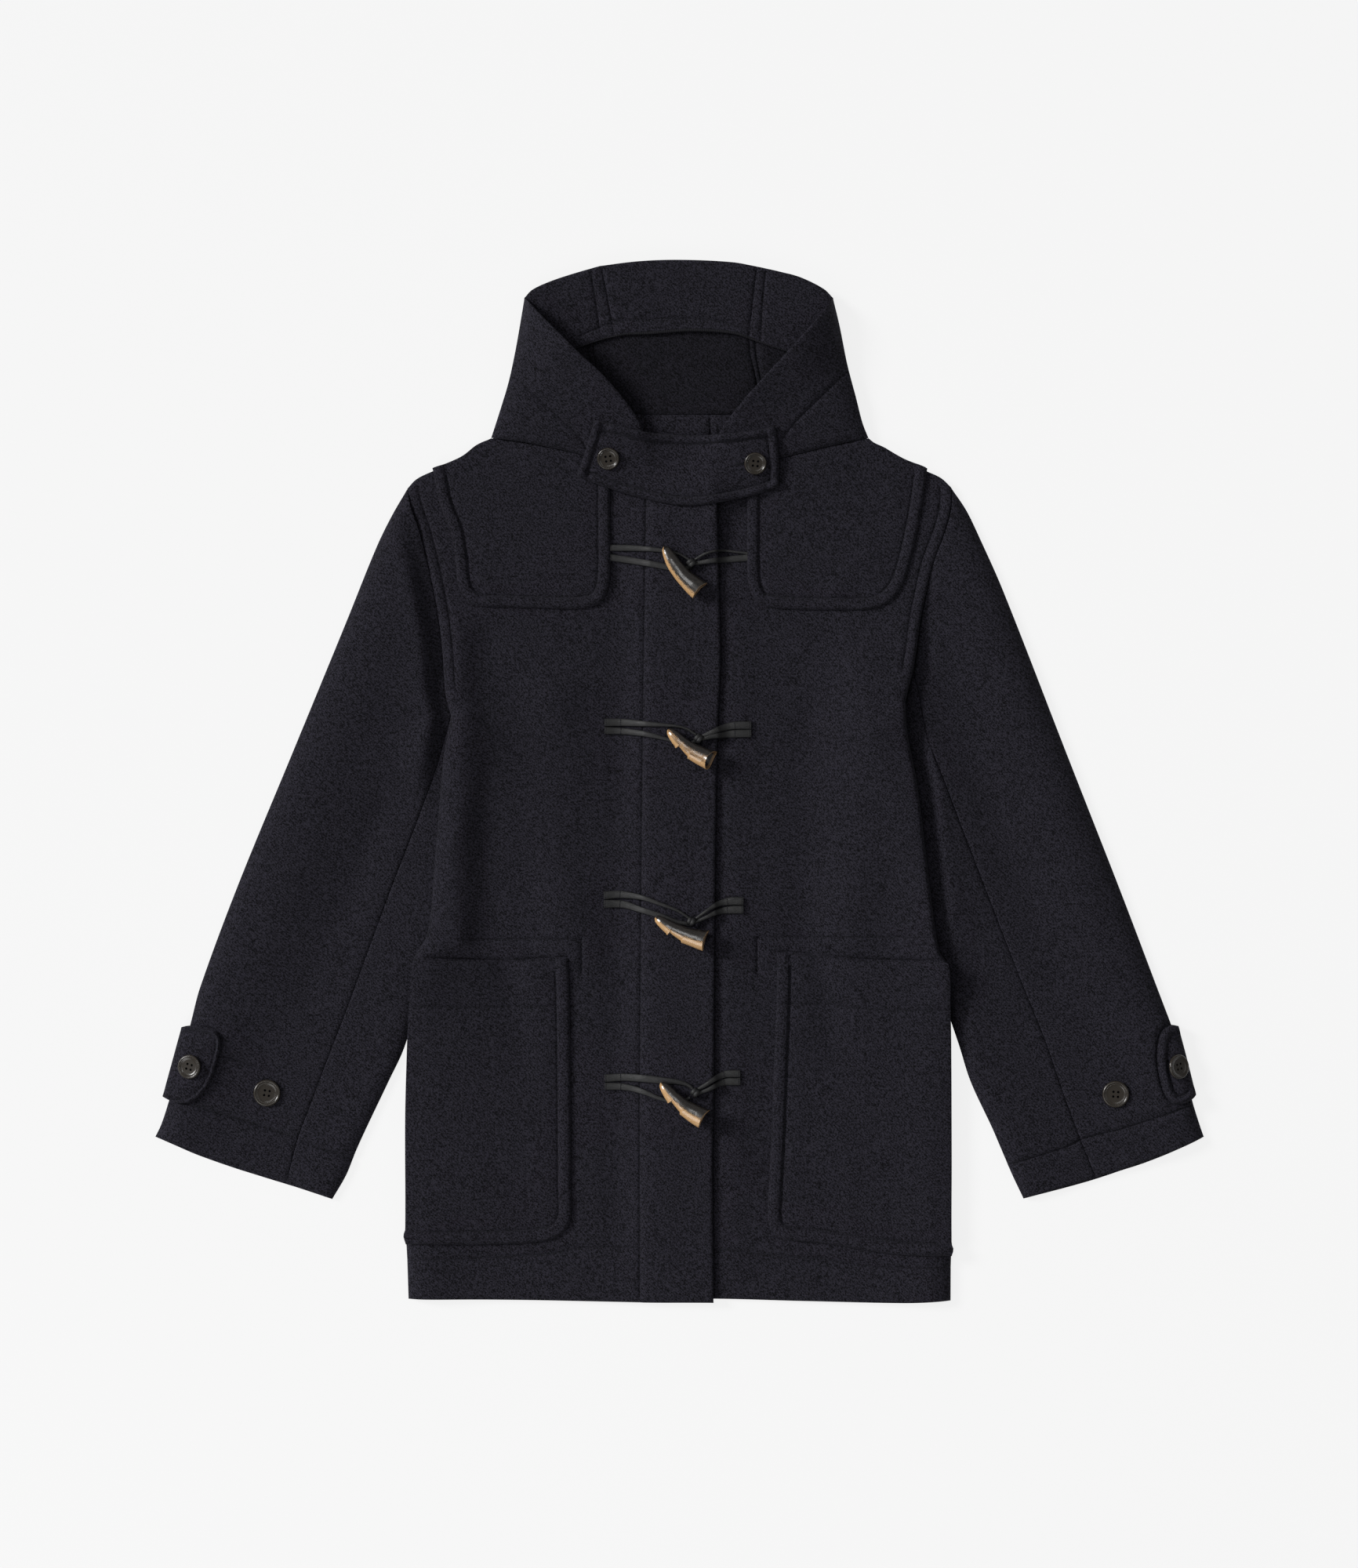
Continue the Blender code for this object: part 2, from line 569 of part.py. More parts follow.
def button(net, name, x, y, radius, finish):
    """A four-hole button with a raised rim, lying on the cloth at its slope."""
    turns = np.arange(12) * math.tau / 12
    around = np.c_[np.cos(turns), np.sin(turns)] * (radius + 1)
    heights = np.array([net.surface(x + dx, y + dy) for dx, dy in around])
    frame = np.c_[around, np.ones(len(around))]
    plane = np.linalg.lstsq(frame, heights, rcond=None)[0]
    lift = max(0.0, (heights - frame @ plane).max())
    points = []
    for share, high in BUTTON_SECTION:
        for k in range(BUTTON_SIDES):
            a = math.tau * k / BUTTON_SIDES
            points.append((radius * share * math.cos(a), radius * share * math.sin(a), BUTTON_H * high))
    obj = add(name, points, ring_faces(len(BUTTON_SECTION), BUTTON_SIDES), finish)
    slope = Vector((-plane[0], -plane[1], 1)).normalized()
    obj.rotation_mode = "QUATERNION"
    obj.rotation_quaternion = Vector((0, 0, 1)).rotation_difference(slope)
    obj.location = Vector((x, y, plane[2] + lift + GAP)) * MM
    for k in range(4):
        a = math.tau * (k + 0.5) / 4
        bpy.ops.mesh.primitive_cylinder_add(vertices=6, radius=radius * HOLE_R * MM, depth=BUTTON_H * 4 * MM)
        cutter = bpy.context.object
        cutter.name = f"{name}_hole_{k}"
        cutter.parent = obj
        cutter.location = Vector((math.cos(a), math.sin(a), 0)) * radius * HOLE_OUT * MM
        cutter.hide_render = True
        cutter.display_type = "WIRE"
        cut = obj.modifiers.new("hole", "BOOLEAN")
        cut.operation, cut.solver, cut.object = "DIFFERENCE", "EXACT", cutter


def ribbon(net, name, path, lifts, finish):
    """A flat leather strand laid along a path, its points lifted over the cloth. Gives its top line."""
    path = np.array(path, float)
    run = np.gradient(path, axis=0)
    run /= np.linalg.norm(run, axis=1)[:, None]
    normal = np.stack([-run[:, 1], run[:, 0]], 1)
    rest = np.array([net.over(*p, CORD_W * 0.8) for p in path])
    padded = np.pad(rest, 1, mode="edge")
    rest = np.maximum(np.maximum(padded[:-2], padded[1:-1]), padded[2:]) + GAP + CORD_LIFT + lifts
    points = []
    for p, n, z in zip(path, normal, rest):
        for across, up in ((1, 0), (1, 1), (-1, 1), (-1, 0)):
            points.append((*(p + n * across * CORD_W / 2), z + up * CORD_H))
    add(name, points, ring_faces(len(path), 4), finish)
    return np.c_[path, rest + CORD_H]


def hairpin(start, knot, outwards):
    """A strand's path from its sewn end to the knot and back, its two runs side by side at the end."""
    start, knot = np.array(start, float), np.array(knot, float)
    sewn = np.array((SEWN * outwards, 0))
    runs = []
    for sign in (1, -1):
        first = start + (0, sign * PAIR_PITCH / 2)
        end = knot + (-outwards * KNOT_R, sign * KNOT_R)
        middle = (first + sewn + end) / 2 + (0, sign * 1.2)
        runs.append(smooth([first, first + sewn, middle, end], 8))
    turns = np.linspace(0.5, math.pi - 0.5, 4)
    apex = [knot + KNOT_R * np.array((outwards * math.sin(a), math.cos(a))) for a in turns]
    return runs[0] + apex + runs[1][::-1]


def seat(strand, middle, radii):
    """The height at which a horn's underside rests on a strand, or 0 where the strand isn't under it."""
    steps = np.linspace(0, 1, 13)[:, None, None]
    strand = (strand[:-1] + (strand[1:] - strand[:-1]) * steps).reshape(-1, 3)
    away = np.linalg.norm(strand[:, None, :2] - middle[None], axis=2)
    share = np.clip((away - CORD_W / 2) / radii, 0, 1)
    rise = radii * HORN_ROUND * (1 - np.sqrt(1 - share**2))
    return np.where(share < 1, strand[:, 2:] + GAP - rise, 0).max()


def toggle(name, tip, end, strands, finish):
    """A horn lying on its strands: tapered to its tip, bowed, and flared at its cut end."""
    tip, end = np.array(tip, float), np.array(end, float)
    axis = end - tip
    length = np.linalg.norm(axis)
    axis /= length
    bow = np.array((axis[1], -axis[0])) * HORN_BOW
    if bow[1] > 0:
        bow = -bow
    shares = np.linspace(0, 1, 13)[:, None]
    middle = tip + axis * shares * length + bow * np.sin(math.pi * shares)
    radii = np.interp(shares[:, 0], *zip(*HORN_SECTION))
    base = max(seat(strand, middle, radii) for strand in strands)
    points = []
    for share, radius in HORN_SECTION:
        centre = tip + axis * share * length + bow * math.sin(math.pi * share)
        slope = axis + bow * math.pi / length * math.cos(math.pi * share)
        slope /= np.linalg.norm(slope)
        across = np.array((-slope[1], slope[0]))
        height = base + radius * HORN_ROUND
        for k in range(HORN_SIDES):
            a = math.tau * (k + 0.5) / HORN_SIDES
            flat_part = across * radius * math.cos(a)
            points.append((*(centre + flat_part), height + radius * HORN_ROUND * math.sin(a)))
    add(name, points, ring_faces(len(HORN_SECTION), HORN_SIDES), finish)


def build_trim(net, leather, horn, button_finish):
    for name, (x, y, radius) in BUTTONS.items():
        button(net, name, x, y, radius, button_finish)
    for number, row in enumerate(TOGGLES, 1):
        loop = hairpin((row["loop_x"], row["loop_y"]), row["knot"], 1)
        below = ribbon(net, f"toggle_loop_{number}", loop, 0.0, leather)
        tie = hairpin((row["tie_x"], row["tie_y"]), row["knot"], -1)
        away = np.array([np.linalg.norm(p - row["knot"]) for p in tie])
        lifts = (CORD_H + GAP + CORD_LIFT) * np.clip((TIE_DOWN - away) / (TIE_DOWN - TIE_FLAT), 0, 1)
        above = ribbon(net, f"toggle_tie_{number}", tie, lifts, leather)
        toggle(f"toggle_{number}", row["tip"], row["end"], (below, above), horn)


def centre_on_origin():
    """Moves everything so that the middle of the coat's base is the origin."""
    bpy.context.view_layer.update()
    solids = [o for o in bpy.data.objects if o.type == "MESH" and not o.hide_render]
    corners = [o.matrix_world @ Vector(c) for o in solids for c in o.bound_box]
    middle = [(min(c[i] for c in corners) + max(c[i] for c in corners)) / 2 for i in (0, 1)]
    for o in bpy.data.objects:
        if o.parent is None:
            o.location -= Vector((*middle, 0))


def main():
    for obj in list(bpy.data.objects):
        bpy.data.objects.remove(obj, do_unlink=True)
    wool = material("navy_wool", (0.014, 0.013, 0.020), 0.95)
    tape = material("binding_tape", (0.03, 0.028, 0.034), 0.85)
    leather = material("leather", (0.035, 0.035, 0.038), 0.45)
    horn = material("horn", (0.09, 0.05, 0.025), 0.25)
    button_finish = material("button_horn", (0.02, 0.014, 0.012), 0.35)
    net = build_cloth(wool, tape)
    build_trim(net, leather, horn, button_finish)
    centre_on_origin()


main()
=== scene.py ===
"""Duffle coat in navy melton, laid flat with its hood opened upwards: its cloth, stitching and trim.

Plan measures are in millimetres from the hem's middle: x runs across the coat, the wearer's right side at -x,
and y runs up to the hood. Heights are from the floor. The coat is laid up piece by piece on a height field.
"""

import math

import bmesh
import bpy
import numpy as np
from mathutils import Matrix, Vector
from mathutils.geometry import delaunay_2d_cdt


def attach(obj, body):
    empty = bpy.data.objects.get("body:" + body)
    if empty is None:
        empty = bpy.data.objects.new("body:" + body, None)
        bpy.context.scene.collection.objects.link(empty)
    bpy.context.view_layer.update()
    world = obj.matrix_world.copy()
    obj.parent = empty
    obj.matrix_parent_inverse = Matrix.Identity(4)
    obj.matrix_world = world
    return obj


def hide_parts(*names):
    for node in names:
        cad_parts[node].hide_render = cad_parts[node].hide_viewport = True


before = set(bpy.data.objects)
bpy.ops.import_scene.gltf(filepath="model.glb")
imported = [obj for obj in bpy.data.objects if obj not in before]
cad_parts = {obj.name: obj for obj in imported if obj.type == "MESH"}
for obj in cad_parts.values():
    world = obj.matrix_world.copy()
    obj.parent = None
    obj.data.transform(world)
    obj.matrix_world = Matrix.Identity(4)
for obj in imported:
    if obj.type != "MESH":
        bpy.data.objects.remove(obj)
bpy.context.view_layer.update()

bl_info = {
    "name": "Duffle Coat",
    "version": (1, 0, 0),
    "blender": (4, 5, 0),
    "location": "View3D > Sidebar > Coat",
    "description": "Lays up a duffle coat from cloth, leather and horn",
    "category": "Object",
}

MM = 0.001
HEM_TO_MIDDLE = 466.42  # from the plan's y = 0 to the frame's Y = 0

# ---- lines of the coat, x and y
SIDES = {"right": -1, "left": 1}
LINES = {
    "right": {
        "shoulder": [(-168, 773), (-176.5, 768), (-192, 755.5), (-207, 748.5), (-221, 743.5), (-235, 736.5),
                     (-243, 728)],
        "armhole": [(-243, 728), (-239.5, 712), (-232.5, 692), (-226, 667), (-220.5, 642), (-215, 612),
                    (-211, 578), (-208.5, 545), (-203.5, 525)],
        "armpit": None,
        "side": [(-203.5, 525), (-206.5, 507), (-210, 490), (-212.5, 462), (-218, 396), (-224.5, 331),
                 (-236.5, 308.5), (-240, 276.5), (-241.5, 255), (-243, 223.5), (-244.5, 165), (-244.5, 67),
                 (-246, 61), (-244, 53), (-242, 3.5)],
        "sleeve_fold": [(-243, 728), (-256, 705.5), (-270, 677), (-297, 610.5), (-346, 491.5), (-395, 372.5),
                        (-428.5, 282), (-437, 249), (-447, 215), (-455.5, 183), (-463, 160),
                        (-468.5, 148.5)],
        "sleeve_seam": [(-203.5, 525), (-220, 469.5), (-257, 372), (-290, 282), (-302.5, 248.5),
                        (-315.5, 215), (-332, 171), (-341, 147), (-350.5, 110)],
        "cuff": [(-468.5, 148.5), (-427, 135), (-386.5, 121.5), (-350.5, 110)],
        "cuff_under": [(-350.5, 110), (-331, 101), (-310, 92.5)],
        "cuff_back": [(-468.5, 148.5), (-448, 139.5), (-433, 133), (-414, 126), (-395, 119.5)],
        "cuff_back_under": [(-395, 119.5), (-366, 110.5), (-340, 102.5), (-310, 92.5)],
        "back_seam": [(-215, 612), (-262, 470), (-395, 119.5)],
        "inner_fold": [(-310, 92.5), (-297.5, 114), (-289, 135), (-279.5, 156), (-259.5, 198), (-245, 229.5),
                       (-204, 360), (-160, 505)],
        "hidden_armhole": [(-160, 505), (-184, 519), (-203.5, 525)],
        "hood_fold": [(-168, 773), (-158, 803.5), (-152, 824), (-145.5, 854.5), (-138, 898)],
        "hood_arc": [(-138, 898), (-131.5, 905), (-117, 912), (-96.5, 919), (-70.5, 926.5)],
        "hood_seam": [(-70.5, 926.5), (-76, 885), (-76.5, 854.5), (-70.5, 819.5), (-62, 794.5)],
        "back_neck": [(-62, 794.5), (-100, 790), (-140, 782), (-168, 773)],
        "brim": [(-138, 898), (-117, 875), (-92.5, 850.5), (-66, 826), (-43.5, 799.5), (-32, 780),
                 (-30, 762), (-30, 741)],
        "neck": [(-30, 741), (-60, 748.5), (-88, 758), (-112.5, 763.5), (-137, 768.5), (-168, 773)],
        "patch": [(-220.5, 746.5), (-214, 714.5), (-204.5, 690), (-200, 664.5), (-197.5, 642),
                  (-189.5, 628.5), (-177.5, 622.5), (-157.5, 621.5), (-120.5, 620.5), (-92, 620),
                  (-72, 624.5), (-64, 636), (-61.2, 655), (-61.2, 700), (-61.2, 749)],
        "pocket_mouth": [(-236.5, 308.5), (-200, 306.5), (-155, 305.5), (-125, 307), (-99, 308.5)],
        "pocket_edge": [(-99, 308.5), (-97.5, 276.5), (-96.5, 187.5), (-96, 98), (-95.5, 81), (-99.5, 67.5),
                        (-109, 59), (-127, 54.5), (-173.5, 52.5), (-244, 53)],
        "strap": [(-444.5, 247), (-437.5, 248), (-424, 246), (-413, 243.5), (-408.5, 235), (-411, 220),
                  (-417, 201.5), (-425.5, 188), (-437.5, 180), (-450, 180), (-461.5, 185)],
        "strap_fold": [(-461.5, 185), (-453.5, 214), (-444.5, 247)],
        "facing_stitch": [(-150, 831), (-121, 803.5), (-88, 773), (-82, 762)],
        "hem_stitch": [(-243, 38.5), (-173.5, 40), (-107, 45), (-84.5, 49.5), (-34.5, 49.5)],
        "mouth_stitch": [(-240.5, 265.5), (-173, 264.5), (-103.5, 265.5)],
        "bar_stitch": [(-196, 325), (-87, 325), (-87, 297)],
        "cuff_stitch": [(-466, 186), (-427.5, 175), (-386.5, 163), (-351.5, 151), (-341, 147)],
        "cuff_stitch_under": [(-341, 147), (-325, 140.5), (-308, 134.5), (-291.5, 129.5)],
        "strap_stitch": [(-409, 222), (-395, 217.5), (-380, 212)],
    },
    "left": {
        "shoulder": [(169.5, 773), (176, 767), (199, 753), (214, 747), (222, 743.5), (234.5, 737.5),
                     (243.5, 729)],
        "armhole": [(243.5, 729), (243, 710), (236.5, 686.5), (227, 661), (222, 640), (215.5, 608.5),
                    (213, 589.5), (209, 564)],
        "armpit": [(209, 564), (205, 550), (202, 537)],
        "side": [(202, 537), (203, 514.5), (206.5, 495.5), (213, 462), (222, 390), (232, 316), (240, 302.5),
                 (242, 266), (243, 232.5), (243.5, 130), (243.5, 54), (245, 49), (243.5, 42.5), (243, 2)],
        "sleeve_fold": [(243.5, 729), (257, 709), (268, 686.5), (290, 637), (346.5, 492), (395.5, 367),
                        (428.5, 280), (439, 252), (448, 228), (453.5, 206), (459, 181), (465.5, 160),
                        (469.5, 148.5)],
        "sleeve_seam": [(209, 564), (214, 546), (217, 527), (222, 504.5), (237.5, 464), (273, 372),
                        (308, 282), (327, 235), (343, 188.5), (359, 145.5), (372.5, 112)],
        "cuff": [(469.5, 148.5), (444, 137), (416.5, 126.5), (395.5, 119.5), (372.5, 112)],
        "cuff_under": [(372.5, 112), (350, 105.5), (330, 99.5), (308, 93)],
        "cuff_back": [(469.5, 148.5), (444, 136), (416.5, 125), (395, 118)],
        "cuff_back_under": [(395, 118), (372.5, 110.5), (350, 104), (308, 93)],
        "back_seam": [(215.5, 608.5), (262, 470), (395, 118)],
        "inner_fold": [(308, 93), (298, 114), (289, 135), (280, 156), (260.5, 198), (250, 231), (206, 360),
                       (160, 505)],
        "hidden_armhole": [(160, 505), (184, 522), (202, 537)],
        "hood_fold": [(169.5, 773), (164, 787), (158, 810), (150.5, 838.5), (143.5, 873), (137.5, 898)],
        "hood_arc": [(137.5, 898), (129.5, 906), (108.5, 916.5), (90, 921.5), (70, 926)],
        "hood_seam": [(70, 926), (63, 885), (63, 852.5), (69, 819.5), (66, 794.5)],
        "back_neck": [(66, 794.5), (100, 790), (140, 782), (169.5, 773)],
        "brim": [(137.5, 898), (125.5, 881.5), (98.5, 850.5), (73.5, 824), (55.5, 803.5), (37, 779),
                 (32, 762), (34, 741)],
        "neck": [(34, 741), (66, 748.5), (98.5, 756.5), (133, 765), (169.5, 773)],
        "patch": [(222, 746), (217.5, 713.5), (213, 689), (206.5, 661), (199, 640), (188.5, 627),
                  (175.5, 620.5), (155.5, 619), (94, 620), (72.5, 624.5), (63.5, 636), (60.7, 655),
                  (60.7, 700), (60.7, 748)],
        "pocket_mouth": [(234, 306), (207, 305.5), (165, 306.5), (134.5, 309.5), (101, 312.5), (87.5, 313)],
        "pocket_edge": [(87.5, 313), (87, 276.5), (84.5, 210), (82, 143), (79.5, 92), (79.5, 73), (85, 62.5),
                        (96, 56.5), (123, 54), (145, 51), (178.5, 45.5), (206, 42.8), (243.5, 42.5)],
        "strap": [(446.2, 248), (438, 248.5), (432, 243.5), (428.5, 235), (427.5, 220), (430, 201.5),
                  (434.5, 187), (441.5, 179.5), (448.5, 178.7), (457, 182), (462, 186.5)],
        "strap_fold": [(462, 186.5), (453.5, 220), (446.2, 248)],
        "facing_stitch": [(150, 832.5), (129.5, 811.5), (104.5, 787), (92, 772)],
        "hem_stitch": [(-30, 47), (45, 47), (78.5, 42.5), (134.5, 38), (178.5, 32), (243, 31.5)],
        "mouth_stitch": [(88, 268), (134.5, 266), (178.5, 262), (243, 262)],
        "bar_stitch": [(223.5, 327), (70, 327), (70, 297)],
        "cuff_stitch": [(465.5, 180.5), (444, 172), (397, 156), (363.5, 147.5), (358.5, 145.5)],
        "cuff_stitch_under": [(358.5, 145.5), (347, 139.5), (320, 131), (294.5, 123)],
        "strap_stitch": None,
    },
}
HOOD_TOP = [(-70.5, 926.5), (-35, 930.8), (2, 932), (47, 930), (70, 926)]
HOOD_RIDGE = [(121, 838), (98.5, 848.5), (82, 854), (68, 859), (47, 865.5), (10, 867.5), (-24.5, 865),
              (-55.5, 863), (-90.5, 852.5), (-116, 840.5)]
BAND_STITCH = [(-88, 864), (-59.5, 875), (-35, 878.5), (26.5, 878.5), (57.5, 871.5), (90, 861)]
BAND_SEAMS = [[(-69, 926), (-63, 895), (-57.5, 864)], [(69.8, 925), (66, 895), (62.5, 864)]]
BAND_SIDE_STITCHES = [[(-78.5, 921), (-74, 895), (-70.5, 868)], [(77.5, 921), (75, 895), (73, 860)]]
BAND_ENDS = [(136, 868), (-133, 868)]
TOP_EDGE = [(34, 741), (34, 710.5), (35.5, 651.5), (37, 572.5), (34.5, 513), (33, 440), (32, 359), (31, 184),
            (30, 128), (31, 0.5)]
TOP_HEM = [(31, 0.5), (-39, 0.5), (-140, 2.5), (-242, 3.5)]
UNDER_EDGE = [(-30, 741), (-31, 3)]
UNDER_HEM = [(-31, 3), (32, 3.5), (110, 1.5), (199, 0), (243, 2)]
PLACKET_STITCH = [(-29.5, 738), (-29.5, 712.5), (-32, 534), (-33.5, 394), (-35, 184), (-35, 4)]
NECK_SEAM = [(-62, 794.5), (0, 794), (66, 794.5)]
CENTRE_BACK = [(28, 794), (29, 700)]
BACK_HEM = [(-120, 4), (120, 4)]
TAB = {
    "top": [(-75.5, 788), (-51, 782.5), (-31.5, 778), (-8.5, 776), (18, 775.2), (45, 776.5), (72, 780),
            (86, 783)],
    "end": [(86, 783), (89, 757), (89.5, 729.5)],
    "bottom": [(89.5, 729.5), (75.5, 724), (59, 719.5), (31.5, 714), (12, 712), (-8.5, 713.5), (-35, 719.5),
               (-63.5, 728), (-91.5, 738.5)],
    "start": [(-91.5, 738.5), (-83, 763), (-75.5, 788)],
}
TAB_SLITS = [(-53, 753.3, -47.5, 753.3), (49.5, 749.6, 58, 749.4)]
CROWN = [(0, 926), (45, 924), (88, 915), (122, 899), (132, 882), (140, 850), (147, 812), (150, 786),
         (110, 779), (0, 778), (-110, 779), (-150, 786), (-147, 812), (-140, 850), (-132, 882), (-122, 899),
         (-88, 915), (-45, 924), (0, 926)]

# Soft folds: path, height, half width.
FOLDS = {
    "front_right": [([(-112, 540), (-110, 430), (-100, 320)], 2.6, 26), ([(-196, 600), (-196, 330)], 1.8, 13),
                    ([(-170, 590), (-170, 330)], -1.2, 14), ([(-10, 700), (-10, 40)], 1.2, 24),
                    ([(-52, 650), (-54, 60)], -1.3, 15), ([(-150, 250), (-165, 90)], 0.8, 20)],
    "front_left": [([(50, 650), (48, 40)], 1.3, 18), ([(115, 520), (112, 330)], -1.4, 18),
                   ([(163, 570), (160, 430), (154, 330)], 2.6, 24), ([(160, 250), (150, 80)], 0.8, 24)],
    "sleeve_top_right": [([(-250, 640), (-330, 420), (-400, 240)], 1.6, 24),
                         ([(-222, 560), (-262, 450), (-330, 280)], -1.2, 16)],
    "sleeve_top_left": [([(258, 640), (340, 420), (405, 240)], 1.6, 24),
                        ([(236, 560), (275, 450), (335, 290)], -1.0, 16)],
    "hood_side_right": [([(-150, 800), (-110, 830)], 1.0, 14), ([(-150, 790), (-90, 766)], -0.8, 10)],
    "hood_side_left": [([(150, 800), (110, 830)], 1.0, 14), ([(150, 790), (95, 766)], -0.8, 10)],
    "shoulder_patch_left": [([(139, 636), (171, 671)], 0.9, 9)],
    "hood_centre": [([(-40, 850), (50, 815)], 1.4, 22)],
}

# Toggles. Each strand's path runs from its sewn end to the knot, upper one first: x, y and its width there.
# notch is the depth of the horn's notch, tan how far its tan side reaches up, cut the slant of its end.
TOGGLES = [
    {"tip": (-13, 676), "end": (17.5, 637), "knot": (11, 661), "notch": 0, "tan": -0.18, "cut": 0.6,
     "loop": [[(-61.6, 675, 6), (-40, 674.6, 5.6), (-15, 672.3, 3.6), (0, 669, 2.4), (9, 664, 2.2)],
              [(-61.6, 666.6, 6.4), (-40, 663.2, 6.2), (-12.8, 658, 5.6), (0, 655.5, 5), (9, 657, 4)]],
     "tie": [[(61.2, 670, 2.4), (51.5, 671.2, 2.2), (37.8, 672.4, 2.2), (24, 669.5, 2.2),
              (11.5, 662.3, 2.4)],
             [(61.2, 666, 6.4), (41.2, 664.4, 5.6), (27.5, 662.7, 4.4), (13.7, 660.5, 3.4)]]},
    {"tip": (-9.5, 513), "end": (27.3, 485.5), "knot": (17.5, 504.5), "notch": 1, "tan": 0.2, "cut": 3.0,
     "loop": [[(-66.5, 519, 7.2), (-50, 519, 6.8), (-28, 517.5, 4.8), (-7, 516, 2.8), (6, 513.5, 2.4),
               (15, 508, 2.2)],
              [(-66.5, 511.8, 6.8), (-50, 511.2, 6), (-30, 508.5, 5), (-11, 504, 3.4), (4, 500, 3),
               (15, 502, 3)]],
     "tie": [[(64.4, 516.4, 7.2), (49, 516.2, 7), (38, 513.6, 5.6), (28, 509.6, 4.4), (19, 505.5, 3.4)],
             [(64.4, 509.2, 7.2), (49, 508.8, 7), (38, 507.6, 5.4), (28, 506, 4), (19, 503.5, 3)]]},
    {"tip": (-21, 345.5), "end": (22.4, 324.8), "knot": (11, 341.5), "notch": 1, "tan": 0.02, "cut": 0.8,
     "loop": [[(-67.2, 364.5, 7.4), (-52, 365.3, 6.8), (-33, 362.6, 4.6), (-16.8, 357, 3.4),
               (-0.7, 350.7, 2.4), (10, 343.5, 2.2)],
              [(-67.2, 356.8, 7.4), (-50, 356.5, 6.8), (-33, 351.4, 5.6), (-16.8, 346.5, 5), (-2, 341, 4),
               (9, 339, 4)]],
     "tie": [[(57.4, 359.4, 7.4), (46, 359.4, 7.2), (34, 356.5, 4.6), (24, 350.5, 2.8), (13, 342.5, 2.4)],
             [(57.4, 351.8, 7.4), (46, 351.6, 7), (35, 350, 5), (25, 345.6, 3.4), (13, 340, 3)]]},
    {"tip": (-16, 198), "end": (21, 166.6), "knot": (14.5, 189), "notch": 1, "tan": 0.04, "cut": 0.8,
     "loop": [[(-66.5, 201, 7.2), (-49, 202, 7), (-30, 201, 6.8), (-14, 199.3, 6.2), (0, 198, 4.4),
               (9.5, 194.5, 3), (14, 189.5, 2.6)],
              [(-66.5, 193.8, 7), (-49, 193.3, 6.2), (-33, 189.7, 5), (-17, 183.5, 3.6), (-2, 180, 3),
               (10, 184, 3)]],
     "tie": [[(54.6, 205.2, 6.8), (43, 205, 6.6), (34, 202, 4.8), (24, 196, 3.6), (15, 190.5, 3)],
             [(54.6, 198.2, 6.8), (43, 198, 6.6), (35, 196, 4.8), (26, 191.5, 3.6), (15, 187.5, 3)]]},
]
BUTTONS = {  # x, y, radius, turn of the holes and lean outwards in degrees
    "neck_button_right": (-63, 754, 10.0, 8, 0),
    "neck_button_left": (68, 749.7, 10.0, -6, 0),
    "strap_button_right": (-435.8, 212, 10.8, -14, 7),
    "strap_button_left": (444.5, 212, 11.0, 11, 7),
    "cuff_button_right": (-368, 188, 12.1, -10, 0),
    "cuff_button_left": (390, 187, 12.0, -4, 0),
}


# ---- lines
AT_ONCE = 8000  # points that are measured together


def clipped(t):
    return np.clip(t, 0, 1)


def ease(t):
    t = clipped(t)
    return t * t * (3 - 2 * t)


def bell(t):
    return np.exp(-(t**2))


def quarter_round(t):
    """0 at an edge, rising steeply to 1, as the section of a rounded edge does."""
    return np.sqrt(1 - (1 - clipped(t)) ** 2)


def rise(away, high, reach):
    """A rounded rise beside a line, highest at the reach."""
    return high * away / reach * np.exp(1 - away / reach)


def ridge_beside(away, high, sharp, reach):
    """A ridge along a line: it stands up over the sharp length and dies away over the reach."""
    return high * (1 - np.exp(-away / sharp)) * np.exp(-away / reach)


def puckers(along, short, sway, long, number):
    """Small uneven waves along a stitch line, different for each line's number."""
    return np.sin(along / short + sway * np.sin(along / long + number))


def circle(sides):
    """The corners of a round shape of radius 1."""
    turns = np.arange(sides) * math.tau / sides
    return np.stack([np.cos(turns), np.sin(turns)], 1)


def resample(points, step):
    """The same line with points about one step apart."""
    points = np.asarray(points, float)
    along = np.r_[0, np.cumsum(np.hypot(*np.diff(points, axis=0).T[:2]))]
    count = max(2, round(along[-1] / step) + 1)
    at = np.linspace(0, along[-1], count)
    return np.stack([np.interp(at, along, column) for column in points.T], 1)


def smooth(rows, step=3.0):
    """A smooth line through the rows."""
    points = np.asarray(rows, float)
    if len(points) < 3:
        return resample(points, step)
    curve = [points[:1]]
    for i in range(len(points) - 1):
        a, b = points[i], points[i + 1]
        before, after = points[max(i - 1, 0)], points[min(i + 2, len(points) - 1)]
        span = np.linalg.norm(b - a)
        into = (b - before) / max(np.linalg.norm(b - before), 1e-6) * span
        out = (after - a) / max(np.linalg.norm(after - a), 1e-6) * span
        t = np.linspace(0, 1, 13)[1:, None]
        curve.append((2 * t**3 - 3 * t**2 + 1) * a + (t**3 - 2 * t**2 + t) * into
                     + (3 * t**2 - 2 * t**3) * b + (t**3 - t**2) * out)
    return resample(np.vstack(curve), step)


